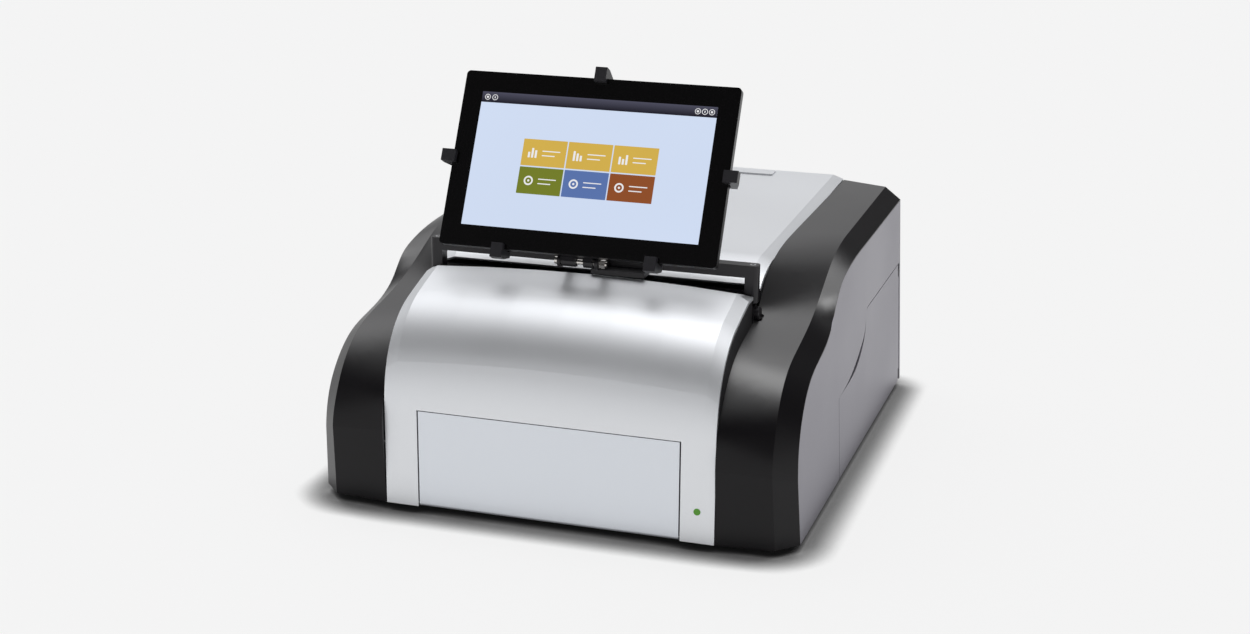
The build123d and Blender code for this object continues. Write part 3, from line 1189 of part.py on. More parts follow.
def make_holder_plate():
    """Holder plate behind the tablet, with its hinge lugs, lower arms and claw guides."""
    plate = block(-PLATE_HALF, PLATE_HALF, HOLDER_Y0, HOLDER_Y1, PLATE_FOOT, PLATE_TOP)
    plate = fillet(plate.edges().filter_by(Axis.Y), 8)
    window = block(12, PLATE_HALF - 20, HOLDER_Y0 - 1, HOLDER_Y1 + 1, PLATE_FOOT + 16,
                   SIDE_CLAW_Z - 24)
    plate -= window + mirrored(window)
    plate += block(-BOTTOM_CLAW_X - CLAW_WIDTH / 2, BOTTOM_CLAW_X + CLAW_WIDTH / 2, HOLDER_Y0,
                   HOLDER_Y1, TABLET_Z0 + 4, TABLET_Z0 + 15)
    plate += block(-16, 16, HOLDER_Y0, HOLDER_Y1, TABLET_Z0 + 8, PLATE_FOOT + 4)
    for x0, x1 in ((-16.5, -2.0), (5.5, 15.0)):
        plate += prism_x(x0, x1, 0, 0, EAR_RADIUS - 1, 8)
        plate += block(x0, x1, HOLDER_Y0, HOLDER_Y1 + 0.6, -1, TABLET_Z0 + 10)
    plate -= rod_x(-20, 20, 0, 0, SHAFT_RADIUS + RUN_FIT)
    for guide in claw_guides():
        plate += guide
    return leant(plate)


def claw_guides():
    """Channels on the back of the plate in which the three sliding claws run."""
    back = HOLDER_Y1 + SLIDE_DEPTH + GUIDE_WALL
    half = SLIDE_HALF + GUIDE_WALL
    upright = block(-half, half, HOLDER_Y1 - 0.5, back, SIDE_CLAW_Z + 16, PLATE_TOP)
    upright -= slide_bar(400, RUN_FIT)
    guides = [upright]
    for side in (-1, 1):
        x0, x1 = sorted((side * (PLATE_HALF - 34), side * PLATE_HALF))
        guide = block(x0, x1, HOLDER_Y1 - 0.5, back, SIDE_CLAW_Z - half, SIDE_CLAW_Z + half)
        channel = Pos(0, 0, SIDE_CLAW_Z) * Rot(0, 90, 0) * Pos(0, 0, -200) * slide_bar(400, RUN_FIT)
        guides.append(guide - channel)
    return guides


def claw_hook(heel=CLAW_GRIP):
    """Claw over an edge at the origin's height: lip in front of the glass, heel behind."""
    face = -TABLET_FACE - CLAW_GAP
    corners = [(CLAW_Y0, -CLAW_GRIP), (CLAW_Y0, CLAW_BACK), (CLAW_Y0 + 9, CLAW_BACK),
               (CLAW_Y1, CLAW_BACK / 2), (CLAW_Y1, -heel), (HOLDER_Y1, -heel),
               (HOLDER_Y1, CLAW_GAP), (face, CLAW_GAP), (face, -CLAW_GRIP)]
    outline = Plane(origin=(-CLAW_WIDTH / 2, 0, 0), x_dir=(0, 1, 0), z_dir=(1, 0, 0))
    return extrude(outline * make_face(Polyline(*corners, close=True)), CLAW_WIDTH)


def make_top_claw():
    """Sliding claw over the tablet's upper edge."""
    slide = Pos(0, 0, TABLET_Z1 - TOP_REACH) * slide_bar(TOP_REACH - CLAW_GRIP + 1)
    return leant(slide + Pos(0, 0, TABLET_Z1) * claw_hook())


def make_side_claw(side):
    """Sliding claw over one of the tablet's side edges."""
    slide = Pos(0, 0, TABLET_HALF - SIDE_REACH) * slide_bar(SIDE_REACH - CLAW_GRIP + 1)
    claw = slide + Pos(0, 0, TABLET_HALF) * claw_hook()
    return leant(Pos(0, 0, SIDE_CLAW_Z) * Rot(0, side * 90, 0) * claw)


def make_bottom_claws():
    """Two fixed claws under the tablet's lower edge."""
    hook = Pos(0, 0, TABLET_Z0) * Rot(0, 180, 0) * claw_hook(CLAW_GRIP + 9)
    return Compound(children=[leant(Pos(side * BOTTOM_CLAW_X, 0, 0) * hook) for side in (-1, 1)])


def make_tablet_housing():
    """Tablet housing: a tray with rounded corners, open to the front for the display."""
    y0, y1 = -TABLET_FACE + GLASS_THICKNESS, TABLET_REAR
    body = block(-TABLET_HALF, TABLET_HALF, y0, y1, TABLET_Z0, TABLET_Z1)
    body = fillet(body.edges().filter_by(Axis.Y), TABLET_CORNER)
    body = chamfer(body.edges().group_by(Axis.Y)[-1], 1.5)
    body -= screen_block(y0 - 1, y0 + 3 + SEAT_GAP, SEAT_GAP)
    body -= button_block(SEAT_GAP)
    return leant(body - rocker_block(SEAT_GAP))


def screen_block(y0, y1, clearance=0.0):
    """Space of the display."""
    half_w, half_h = SCREEN_WIDTH / 2 + clearance, SCREEN_HEIGHT / 2 + clearance
    middle = (TABLET_Z0 + TABLET_Z1) / 2
    return block(-half_w, half_w, y0, y1, middle - half_h, middle + half_h)


ROCKER_Z = TABLET_Z0 + 138.0


def button_block(clearance=0.0):
    """Power button in the tablet's upper edge."""
    middle = (TABLET_REAR - TABLET_FACE + GLASS_THICKNESS) / 2
    half_x, half_y = BUTTON_LENGTH / 2 + clearance, BUTTON_WIDTH / 2 + clearance
    proud = 5.0 if clearance else BUTTON_PROUD
    floor = TABLET_Z1 - BUTTON_DEPTH - (1.2 if clearance else 0)
    return block(BUTTON_X - half_x, BUTTON_X + half_x, middle - half_y, middle + half_y, floor,
                 TABLET_Z1 + proud)


def rocker_block(clearance=0.0):
    """Volume key in the tablet's left edge."""
    middle = (TABLET_REAR - TABLET_FACE + GLASS_THICKNESS) / 2
    half_z, half_y = VOLUME_LENGTH / 2 + clearance, BUTTON_WIDTH / 2 + clearance
    proud = 5.0 if clearance else BUTTON_PROUD
    floor = -TABLET_HALF + BUTTON_DEPTH + (1.2 if clearance else 0)
    return block(-TABLET_HALF - proud, floor, middle - half_y, middle + half_y, ROCKER_Z - half_z,
                 ROCKER_Z + half_z)


def make_tablet_glass():
    """Glass over the whole front of the tablet."""
    y0 = -TABLET_FACE
    glass = block(-TABLET_HALF + 0.5, TABLET_HALF - 0.5, y0, y0 + GLASS_THICKNESS, TABLET_Z0 + 0.5,
                  TABLET_Z1 - 0.5)
    return leant(fillet(glass.edges().filter_by(Axis.Y), TABLET_CORNER - 0.5))


def make_tablet_screen():
    """Display panel behind the glass."""
    y0 = -TABLET_FACE + GLASS_THICKNESS
    return leant(screen_block(y0, y0 + 3))


def make_status_light():
    """Green lens beside the plate door."""
    return rod_y(LIGHT_X, FACE - 0.4, FACE + SHELL + 4, BASE + LIGHT_HEIGHT,
                 LIGHT_RADIUS - RUN_FIT)


def build():
    """Make every piece and write it to its file."""
    cheek, frame = make_cheek(), add_gantry_boss(make_frame_plate())
    paddle_window = paddle_slot(FRAME_IN - 1, FRAME_OUT + 1)
    left_panel = extrude(SIDE * cheek_face("outer", PANEL_LIP), -PANEL_THICKNESS)
    bed = make_stage_bed()
    for y in PULLEY_Y:
        bed -= rod_z(PULLEY_X, y, BED_Z0 - 1, RAIL_Z0 + 1, SPINDLE_RADIUS + RUN_FIT)
    pieces = {
        "base_pan": make_base_pan(),
        "rubber_feet": make_feet(),
        "left_frame_plate": mirrored(frame),
        "right_frame_plate": frame - paddle_window,
        "valley_channel": make_valley(),
        "front_cover": make_front_cover(),
        "rear_top_cover": make_rear_cover(),
        "left_cheek": mirrored(cheek),
        "right_cheek": add_access_lugs(cheek),
        "left_side_panel": mirrored(left_panel),
        "right_side_panel": make_right_panel(),
        "access_door": make_access_door(),
        "hinge_pins": make_access_pin() + door_pins(),
        "rear_panel": make_rear_panel(),
        "mains_inlet": Compound(children=[make_inlet(), make_switch_body()]),
        "power_rocker": make_rocker(),
        "data_ports": make_ports(),
        "fan_housing": make_fan_housing(),
        "fan_rotor": make_fan_rotor(),
        "status_light": make_status_light(),
        "plate_door": make_plate_door(),
        "door_frame": make_door_frame(),
        "stage_bed": bed,
        "tray_rails": make_rails(),
        "tray_bearings": make_bearing_blocks(),
        "plate_tray": make_tray(),
        "drive_belt": make_belt(),
        "idler_pulley": make_pulley(PULLEY_Y[0]),
        "drive_pulley": make_pulley(PULLEY_Y[1]),
        "step_motors": Compound(children=[make_tray_motor(), make_wheel_motor()]),
        "gantry_rods": make_gantry_rods(),
        "optics_head": make_optics_head(),
        "objective": make_objective(),
        "detector": make_detector(),
        "bulkhead": make_bulkhead(),
        "filter_wheel": make_filter_wheel(),
        "filter_glasses": make_filters(),
        "lamp_housing": make_lamp(),
        "paddle_guide": make_paddle_guide(),
        "filter_paddle": make_filter_paddle(),
        "main_board": make_board(),
        "power_supply": make_power_supply(),
        "crossbar": make_crossbar(),
        "crossbar_screws": make_bar_screws(),
        "stand_legs": make_legs(),
        "leg_pivots": make_pivots(),
        "tilt_bracket": make_tilt_bracket(),
        "tilt_shaft": make_tilt_shaft(),
        "tilt_nuts": make_tilt_nuts(),
        "holder_plate": make_holder_plate(),
        "bottom_claws": make_bottom_claws(),
        "top_claw": make_top_claw(),
        "left_claw": make_side_claw(-1),
        "right_claw": make_side_claw(1),
        "tablet_housing": make_tablet_housing(),
        "tablet_glass": make_tablet_glass(),
        "tablet_screen": make_tablet_screen(),
        "tablet_power_button": leant(button_block()),
        "tablet_volume_key": leant(rocker_block()),
    }
    os.makedirs("parts", exist_ok=True)
    for name, shape in pieces.items():
        save(name, shape)


build()
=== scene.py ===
"""Looks of the bench microplate reader: materials, display, trim and studio."""
import math

import bmesh
import bpy
from mathutils import Matrix, Vector


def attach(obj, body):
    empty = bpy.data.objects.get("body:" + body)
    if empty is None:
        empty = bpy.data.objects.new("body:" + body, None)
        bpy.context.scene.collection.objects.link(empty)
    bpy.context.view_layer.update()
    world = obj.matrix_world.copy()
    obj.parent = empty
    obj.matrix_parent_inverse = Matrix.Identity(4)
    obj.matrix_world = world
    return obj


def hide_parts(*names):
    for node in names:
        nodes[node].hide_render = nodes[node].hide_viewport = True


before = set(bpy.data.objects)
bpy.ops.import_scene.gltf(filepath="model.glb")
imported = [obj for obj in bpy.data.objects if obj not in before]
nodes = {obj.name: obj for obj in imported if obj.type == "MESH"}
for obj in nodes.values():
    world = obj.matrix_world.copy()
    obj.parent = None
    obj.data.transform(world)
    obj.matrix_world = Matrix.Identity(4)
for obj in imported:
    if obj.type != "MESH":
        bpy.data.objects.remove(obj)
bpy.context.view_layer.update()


# ---------------------------------------------------------------- colour and materials
def lin(r, g, b):
    """Linear colour of an 0-255 sRGB one."""
    def one(v):
        v /= 255
        return v / 12.92 if v <= 0.04045 else ((v + 0.055) / 1.055) ** 2.4
    return (one(r), one(g), one(b), 1.0)


def scaled(colour, k):
    return tuple(min(1.0, c * k) for c in colour[:3]) + (1.0,)


def new_material(name):
    m = bpy.data.materials.new(name)
    m.use_nodes = True
    t = m.node_tree
    return m, t, t.nodes["Principled BSDF"]


def noise(t, scale, detail=2.0, rough=0.5, stretch=None):
    """Noise over the object's own coordinates."""
    tc = t.nodes.new("ShaderNodeTexCoord")
    n = t.nodes.new("ShaderNodeTexNoise")
    n.inputs["Scale"].default_value = scale
    n.inputs["Detail"].default_value = detail
    n.inputs["Roughness"].default_value = rough
    if stretch:
        mp = t.nodes.new("ShaderNodeMapping")
        mp.inputs["Scale"].default_value = stretch
        t.links.new(tc.outputs["Object"], mp.inputs["Vector"])
        t.links.new(mp.outputs["Vector"], n.inputs["Vector"])
    else:
        t.links.new(tc.outputs["Object"], n.inputs["Vector"])
    return n


def spread(t, source, low, high):
    """Map a 0.3-0.7 noise value to low-high."""
    r = t.nodes.new("ShaderNodeMapRange")
    r.inputs["From Min"].default_value = 0.3
    r.inputs["From Max"].default_value = 0.7
    r.inputs["To Min"].default_value = low
    r.inputs["To Max"].default_value = high
    t.links.new(source.outputs["Fac"], r.inputs["Value"])
    return r


def surface(name, colour, metallic=0.0, rough=(0.4, 0.5), grain=900.0, bump=0.1, vary=0.06,
            patch=9.0, coat=0.0, coat_rough=0.1, specular=0.5, stretch=None, depth=0.0002):
    """Material with a fine grain, slight colour drift and uneven gloss."""
    m, t, b = new_material(name)
    drift = noise(t, patch, 3.0)
    fine = noise(t, grain, 2.0, 0.6, stretch)
    mix = t.nodes.new("ShaderNodeMix")
    mix.data_type = "RGBA"
    mix.inputs["A"].default_value = scaled(colour, 1 - vary)
    mix.inputs["B"].default_value = scaled(colour, 1 + vary)
    both = t.nodes.new("ShaderNodeMath")
    both.operation = "ADD"
    half = t.nodes.new("ShaderNodeMath")
    half.operation = "MULTIPLY"
    half.inputs[1].default_value = 0.5
    t.links.new(drift.outputs["Fac"], both.inputs[0])
    t.links.new(fine.outputs["Fac"], both.inputs[1])
    t.links.new(both.outputs[0], half.inputs[0])
    t.links.new(half.outputs[0], mix.inputs["Factor"])
    t.links.new(mix.outputs["Result"], b.inputs["Base Color"])
    gloss = spread(t, drift, rough[0], rough[1])
    t.links.new(gloss.outputs["Result"], b.inputs["Roughness"])
    b.inputs["Metallic"].default_value = metallic
    b.inputs["Specular IOR Level"].default_value = specular
    b.inputs["Coat Weight"].default_value = coat
    b.inputs["Coat Roughness"].default_value = coat_rough
    if bump:
        bm = t.nodes.new("ShaderNodeBump")
        bm.inputs["Strength"].default_value = bump
        bm.inputs["Distance"].default_value = depth
        t.links.new(fine.outputs["Fac"], bm.inputs["Height"])
        t.links.new(bm.outputs["Normal"], b.inputs["Normal"])
    return m


silver = surface("silver_metallic", lin(234, 236, 239), 0.88, (0.46, 0.50), 2600, 0.05, 0.03, 6.0)
door_silver = surface("door_silver", lin(224, 228, 234), 0.90, (0.38, 0.42), 2600, 0.05, 0.03, 6.0)
charcoal = surface("charcoal_shell", lin(17, 15, 18), 0.0, (0.30, 0.36), 1500, 0.12, 0.10, 7.0,
                   specular=0.34)


SHEEN_TURN = (0.35, 0.82)    # upward part of the normal where the painted sheen starts and is full
SHEEN_ASIDE = 0.8            # how much a sideways turn takes off the painted sheen


def painted_sheen(m, upright, upturned):
    """Painted sheen: faces turned up shine more than upright ones and side bevels, standing in for
    the overhead light's highlight.
    """
    t = m.node_tree
    sep = t.nodes.new("ShaderNodeSeparateXYZ")
    aside = t.nodes.new("ShaderNodeMath")
    aside.operation = "ABSOLUTE"
    t.links.new(sep.outputs["X"], aside.inputs[0])
    turned = t.nodes.new("ShaderNodeMath")
    turned.operation = "MULTIPLY_ADD"
    turned.inputs[1].default_value = -SHEEN_ASIDE
    t.links.new(aside.outputs[0], turned.inputs[0])
    t.links.new(sep.outputs["Z"], turned.inputs[2])
    r = t.nodes.new("ShaderNodeMapRange")
    r.interpolation_type = "SMOOTHSTEP"
    r.inputs["From Min"].default_value = SHEEN_TURN[0]
    r.inputs["From Max"].default_value = SHEEN_TURN[1]
    r.inputs["To Min"].default_value = upright
    r.inputs["To Max"].default_value = upturned
    geometry = t.nodes.new("ShaderNodeNewGeometry")
    t.links.new(geometry.outputs["Normal"], sep.inputs["Vector"])
    t.links.new(turned.outputs[0], r.inputs["Value"])
    t.links.new(r.outputs["Result"], t.nodes["Principled BSDF"].inputs["Specular IOR Level"])


# painted sheen on the charcoal shells, stronger where they face up
painted_sheen(charcoal, upright=0.24, upturned=1.3)
side_grey = surface("side_grey", lin(142, 140, 149), 0.6, (0.34, 0.42), 2200, 0.06, 0.04, 5.0)
rear_grey = surface("rear_grey", lin(118, 118, 122), 0.35, (0.42, 0.5), 1200, 0.12, 0.05, 6.0)
pan_grey = surface("pan_grey", lin(92, 94, 97), 0.4, (0.42, 0.5), 1200, 0.12, 0.05, 6.0)
frame_black = surface("frame_black", lin(40, 39, 42), 0.3, (0.42, 0.5), 1400, 0.14, 0.08)
black_plastic = surface("black_plastic", lin(34, 33, 36), 0.0, (0.42, 0.52), 1800, 0.16, 0.10)
stand_black = surface("stand_black", lin(30, 28, 32), 0.15, (0.34, 0.42), 1600, 0.10, 0.08)
claw_black = surface("claw_black", lin(38, 37, 41), 0.0, (0.38, 0.46), 1600, 0.12, 0.08)
rubber = surface("rubber", lin(28, 28, 29), 0.0, (0.65, 0.8), 1400, 0.3, 0.10)
belt = surface("belt_rubber", lin(26, 26, 27), 0.0, (0.6, 0.72), 1400, 0.25, 0.10)
steel = surface("ground_steel", lin(188, 188, 190), 1.0, (0.22, 0.30), 900, 0.08, 0.05, 12.0,
                stretch=(0.05, 1.0, 1.0))
chrome = surface("bright_metal", lin(214, 210, 206), 1.0, (0.10, 0.18), 700, 0.04, 0.04, 30.0)
alloy = surface("machined_alloy", lin(190, 192, 196), 0.95, (0.28, 0.38), 800, 0.08, 0.05, 14.0,
                stretch=(1.0, 0.04, 1.0))
board = surface("circuit_board", lin(24, 92, 58), 0.0, (0.30, 0.42), 700, 0.2, 0.20, 60.0, 0.3)
tablet_black = surface("tablet_black", lin(16, 15, 17), 0.1, (0.30, 0.38), 1800, 0.08, 0.08)
tablet_glass = surface("tablet_glass", lin(8, 7, 8), 0.0, (0.05, 0.09), 300, 0.0, 0.10, 4.0)


def glass_filter():
    """Tinted filter glass."""
    m, t, b = new_material("filter_glass")
    n = noise(t, 14.0, 1.0)
    ramp = t.nodes.new("ShaderNodeValToRGB")
    ramp.color_ramp.elements[0].position = 0.35
    ramp.color_ramp.elements[0].color = lin(120, 160, 220)
    ramp.color_ramp.elements[1].position = 0.65
    ramp.color_ramp.elements[1].color = lin(200, 150, 210)
    t.links.new(n.outputs["Fac"], ramp.inputs["Fac"])
    t.links.new(ramp.outputs["Color"], b.inputs["Base Color"])
    b.inputs["Transmission Weight"].default_value = 0.85
    b.inputs["Roughness"].default_value = 0.04
    return m


UNLIT = (0.004, 0.004, 0.004, 1)     # base colour of the lit surfaces


def glow(name, colour, strength, vary=0.04, scale=8.0, rough=0.12):
    """Lit surface behind a smooth cover."""
    m, t, b = new_material(name)
    n = noise(t, scale, 1.0)
    mix = t.nodes.new("ShaderNodeMix")
    mix.data_type = "RGBA"
    mix.inputs["A"].default_value = scaled(colour, 1 - vary)
    mix.inputs["B"].default_value = scaled(colour, 1 + vary)
    t.links.new(n.outputs["Fac"], mix.inputs["Factor"])
    t.links.new(mix.outputs["Result"], b.inputs["Emission Color"])
    b.inputs["Base Color"].default_value = UNLIT
    b.inputs["Emission Strength"].default_value = strength
    b.inputs["Roughness"].default_value = rough
    b.inputs["Specular IOR Level"].default_value = 0.3
    return m


LOOKS = {
    silver: ("front_cover", "rear_top_cover"),
    door_silver: ("plate_door",),
    charcoal: ("left_cheek", "right_cheek"),
    side_grey: ("left_side_panel", "right_side_panel", "access_door"),
    rear_grey: ("rear_panel",),
    pan_grey: ("base_pan",),
    frame_black: ("left_frame_plate", "right_frame_plate", "step_motors"),
    black_plastic: ("valley_channel", "mains_inlet", "power_rocker", "fan_housing", "fan_rotor",
                    "door_frame", "objective", "filter_wheel", "filter_paddle"),
    stand_black: ("crossbar", "stand_legs", "leg_pivots", "tilt_bracket", "holder_plate"),
    claw_black: ("bottom_claws", "top_claw", "left_claw", "right_claw"),
    rubber: ("rubber_feet",),
    belt: ("drive_belt",),
    steel: ("hinge_pins", "tray_rails", "tray_bearings", "gantry_rods", "crossbar_screws"),
    chrome: ("tilt_shaft", "tilt_nuts", "data_ports"),
    alloy: ("stage_bed", "plate_tray", "idler_pulley", "drive_pulley", "optics_head", "detector",
            "bulkhead", "lamp_housing", "paddle_guide", "power_supply"),
    board: ("main_board",),
    tablet_black: ("tablet_housing", "tablet_power_button", "tablet_volume_key"),
    tablet_glass: ("tablet_glass",),
    glass_filter(): ("filter_glasses",),
}
for material, names in LOOKS.items():
    for name in names:
        ob = nodes[name]
        for s in ob.material_slots:
            s.material = material


# ---------------------------------------------------------------- mesh helpers
def make_object(name, bm, material, body):
    me = bpy.data.meshes.new(name)
    bmesh.ops.recalc_face_normals(bm, faces=bm.faces)
    bm.to_mesh(me)
    bm.free()
    me.materials.append(material)
    ob = bpy.data.objects.new(name, me)
    bpy.context.scene.collection.objects.link(ob)
    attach(ob, body)
    return ob


def plate_points(x0, x1, u0, u1, radius, steps=5):
    """Outline of a rectangle with rounded corners."""
    pts = []
    for cx, cy, a0 in ((x1 - radius, u1 - radius, 0), (x0 + radius, u1 - radius, 90),
                       (x0 + radius, u0 + radius, 180), (x1 - radius, u0 + radius, 270)):
        for i in range(steps + 1):
            a = math.radians(a0 + 90 * i / steps)
            pts.append((cx + radius * math.cos(a), cy + radius * math.sin(a)))
    return pts


def prism(bm, pts, place, low, high):
    """Closed flat piece: outline pts, from low to high along the surface's normal."""
    bottom = [bm.verts.new(place(x, u, low)) for x, u in pts]
    top = [bm.verts.new(place(x, u, high)) for x, u in pts]
    bm.faces.new(top)
    bm.faces.new(list(reversed(bottom)))
    for i in range(len(pts)):
        j = (i + 1) % len(pts)
        bm.faces.new((bottom[i], bottom[j], top[j], top[i]))


# ---------------------------------------------------------------- display of the tablet
MM = 0.001
LEAN = math.radians(27.6)
TILT = Vector((0, -0.171, 0.237))
FACE_OUT = Vector((0, -math.cos(LEAN), math.sin(LEAN)))
FACE_UP = Vector((0, math.sin(LEAN), math.cos(LEAN)))
FOOT_UP = 2.7                # tilt axis to the tablet's lower edge
FACE_DEPTH = 16.6            # tilt axis to the glass
SKIN = 0.03                  # thickness of each flat piece on the glass

# how far the layers' outer sides stand in front of the glass
FIELD_OUT, TITLE_OUT, TILE_OUT, KEY_OUT, SIGN_OUT = 0.04, 0.08, 0.10, 0.12, 0.14

# display, in mm from the middle and from the tablet's lower edge
FIELD_HALF = 117.3
FIELD_LOW, FIELD_HIGH = 20.5, 152.5
TITLE_LOW = 142.0
TILE_LEFT = -67.5
TILE_PITCH = 45.2
TILE_WIDTH, TILE_HEIGHT = 44.0, 26.2
TOP_ROW, LOW_ROW = 82.5, 55.0
SIGN_AT = (10.5, 13.0)       # middle of a tile's sign, from the tile's lower left corner
SIGN_UP = 147.2              # round signs of the title bar
SIGN_PLACES = (-111.5, -104.0, 98.5, 105.3, 112.1)


def on_glass(x, u, out):
    """Point on the tablet's face: x and u from its lower edge in mm, out in front of the glass."""
    return (TILT + Vector((x * MM, 0, 0)) + FACE_UP * ((u + FOOT_UP) * MM)
            + FACE_OUT * ((FACE_DEPTH + out) * MM))


def tile(name, x0, x1, u0, u1, out, material, radius):
    bm = bmesh.new()
    prism(bm, plate_points(x0, x1, u0, u1, radius), on_glass, out - SKIN, out)
    return make_object(name, bm, material, "holder_body")


def ring(name, x, u, r0, r1, out, material, steps=28):
    bm = bmesh.new()
    rows = []
    for h in (out - SKIN, out):
        for r in (r0, r1):
            rows.append([bm.verts.new(on_glass(x + r * math.cos(2 * math.pi * i / steps),
                                               u + r * math.sin(2 * math.pi * i / steps), h))
                         for i in range(steps)])
    a, b, c, d = rows
    for i in range(steps):
        j = (i + 1) % steps
        for p, q in ((a, b), (b, d), (d, c), (c, a)):
            bm.faces.new((p[i], p[j], q[j], q[i]))
    return make_object(name, bm, material, "holder_body")


def glyph(name, polygons, out, material):
    """Small sign made of flat outlines, such as bars or a wedge."""
    bm = bmesh.new()
    for pts in polygons:
        prism(bm, pts, on_glass, out - SKIN, out)
    return make_object(name, bm, material, "holder_body")


def bar_gradient():
    """Dark title bar, lighter towards its upper edge."""
    m, t, b = new_material("title_bar")
    tc = t.nodes.new("ShaderNodeTexCoord")
    sep = t.nodes.new("ShaderNodeSeparateXYZ")
    r = t.nodes.new("ShaderNodeMapRange")
    r.inputs["From Min"].default_value = on_glass(0, TITLE_LOW, 0).z
    r.inputs["From Max"].default_value = on_glass(0, FIELD_HIGH, 0).z
    ramp = t.nodes.new("ShaderNodeValToRGB")
    ramp.color_ramp.elements[0].color = lin(24, 22, 34)
    ramp.color_ramp.elements[1].color = lin(84, 84, 102)
    t.links.new(tc.outputs["Object"], sep.inputs["Vector"])
    t.links.new(sep.outputs["Z"], r.inputs["Value"])
    t.links.new(r.outputs["Result"], ramp.inputs["Fac"])
    t.links.new(ramp.outputs["Color"], b.inputs["Emission Color"])
    b.inputs["Emission Strength"].default_value = 0.8
    b.inputs["Base Color"].default_value = UNLIT
    b.inputs["Roughness"].default_value = 0.12
    return m


pale = glow("display_pale", lin(214, 227, 250), 0.93, 0.05, 5.0)
yellow = glow("display_yellow", lin(216, 180, 80), 0.93, 0.03, 30.0)
green = glow("display_green", lin(118, 128, 42), 0.93, 0.03, 30.0)
blue = glow("display_blue", lin(92, 118, 176), 0.93, 0.03, 30.0)
rust = glow("display_rust", lin(146, 80, 42), 0.93, 0.03, 30.0)
white = glow("display_white", lin(244, 244, 246), 0.9, 0.02, 30.0)

screen = tile("display_field", -FIELD_HALF, FIELD_HALF, FIELD_LOW, FIELD_HIGH, FIELD_OUT, pale, 0.4)
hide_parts("tablet_screen")
tile("display_bar", -FIELD_HALF, FIELD_HALF, TITLE_LOW, FIELD_HIGH, TITLE_OUT, bar_gradient(),
     0.4)

# six tiles in two rows of three, each with a plain sign of its own
for row_u, colours in ((TOP_ROW, (yellow, yellow, yellow)), (LOW_ROW, (green, blue, rust))):
    for i, colour in enumerate(colours):
        x0 = TILE_LEFT + i * TILE_PITCH
        k = f"{int(row_u)}_{i}"
        tile("display_tile_" + k, x0, x0 + TILE_WIDTH, row_u, row_u + TILE_HEIGHT, TILE_OUT,
             colour, 0.5)
        cx, cu = x0 + SIGN_AT[0], row_u + SIGN_AT[1]
        if row_u == TOP_ROW:
            bars = [plate_points(cx - 4.5 + 3.4 * n, cx - 2.4 + 3.4 * n, cu - 5,
                                 cu - 5 + (3.5, 7.5, 5.5)[(n + i) % 3] + 2, 0.4)
                    for n in range(3)]
            glyph("display_bars_" + k, bars, SIGN_OUT, white)
        else:
            ring("display_ring_" + k, cx, cu, 3.0, 4.6, SIGN_OUT, white)
            glyph("display_dot_" + k, [plate_points(cx - 1.1, cx + 1.1, cu - 1.1, cu + 1.1, 1.0)],
                  SIGN_OUT, white)
        lines = [plate_points(x0 + 20, x0 + 38 - 5 * n, cu + 1.6 - 4.4 * n, cu + 2.6 - 4.4 * n, 0.4)
                 for n in range(2)]
        glyph("display_lines_" + k, lines, SIGN_OUT, white)
for n, x in enumerate(SIGN_PLACES):
    ring(f"display_key_{n}", x, SIGN_UP, 2.3, 2.9, KEY_OUT, white)
    wide = 0.5 if n % 2 else 1.1
    glyph(f"display_mark_{n}", [plate_points(x - wide, x + wide, SIGN_UP - 1, SIGN_UP + 1, 0.3)],
          KEY_OUT, white)


# ---------------------------------------------------------------- status light
m_light = glow("status_green", lin(96, 168, 52), 0.55, 0.12, 300.0, 0.15)
for s in nodes["status_light"].material_slots:
    s.material = m_light


# ---------------------------------------------------------------- studio
FLOOR_HALF = 14.0
FLOOR_WHITE = (0.885, 0.895)    # darkest and lightest patch of the floor
BACKDROP = 0.945                # brightness of the floor to the eye, away from the object
FLOOR_PLAIN = 0.85              # share of that plain brightness, beside the lit floor
PAINTED_SHADOW_REACH = 0.036            # distance over which a painted shadow darkens the floor near the object
PAINTED_SHADOW_DEPTH = 5.0              # power that deepens that painted shadow

# height of the direction (0 level, 1 overhead) and brightness there
REAR_LIGHT = ((0.0, 0.62), (0.38, 0.44), (0.62, 1.0), (0.78, 1.20), (1.0, 1.20))
RIGHT_LIGHT = ((0.0, 0.30), (0.20, 0.06), (0.50, 0.06), (0.74, 1.0), (1.0, 1.20))
FRONT_LIGHT = ((0.0, 1.0), (0.17, 0.90), (0.33, 0.14), (0.76, 0.05), (0.91, 0.5), (1.0, 1.20))
REAR_TO_RIGHT = (-0.12, 0.20)   # sideways part of the direction where one becomes the other
REAR_TO_FRONT = (0.22, -0.30)   # the same for its part along the machine

KEY_DIRECTION = (0.02, 0.14, 1.0)
KEY_STRENGTH = 0.55
KEY_ANGLE = 34

CAMERA_PLACE = (0.5926, -1.8942, 0.7402)
CAMERA_BACK = (0.2891, -0.9116, 0.2924)     # from the object towards the camera
CAMERA_ROLL = 0.474
CAMERA_LENS = 57.73
CAMERA_SENSOR = 36.0


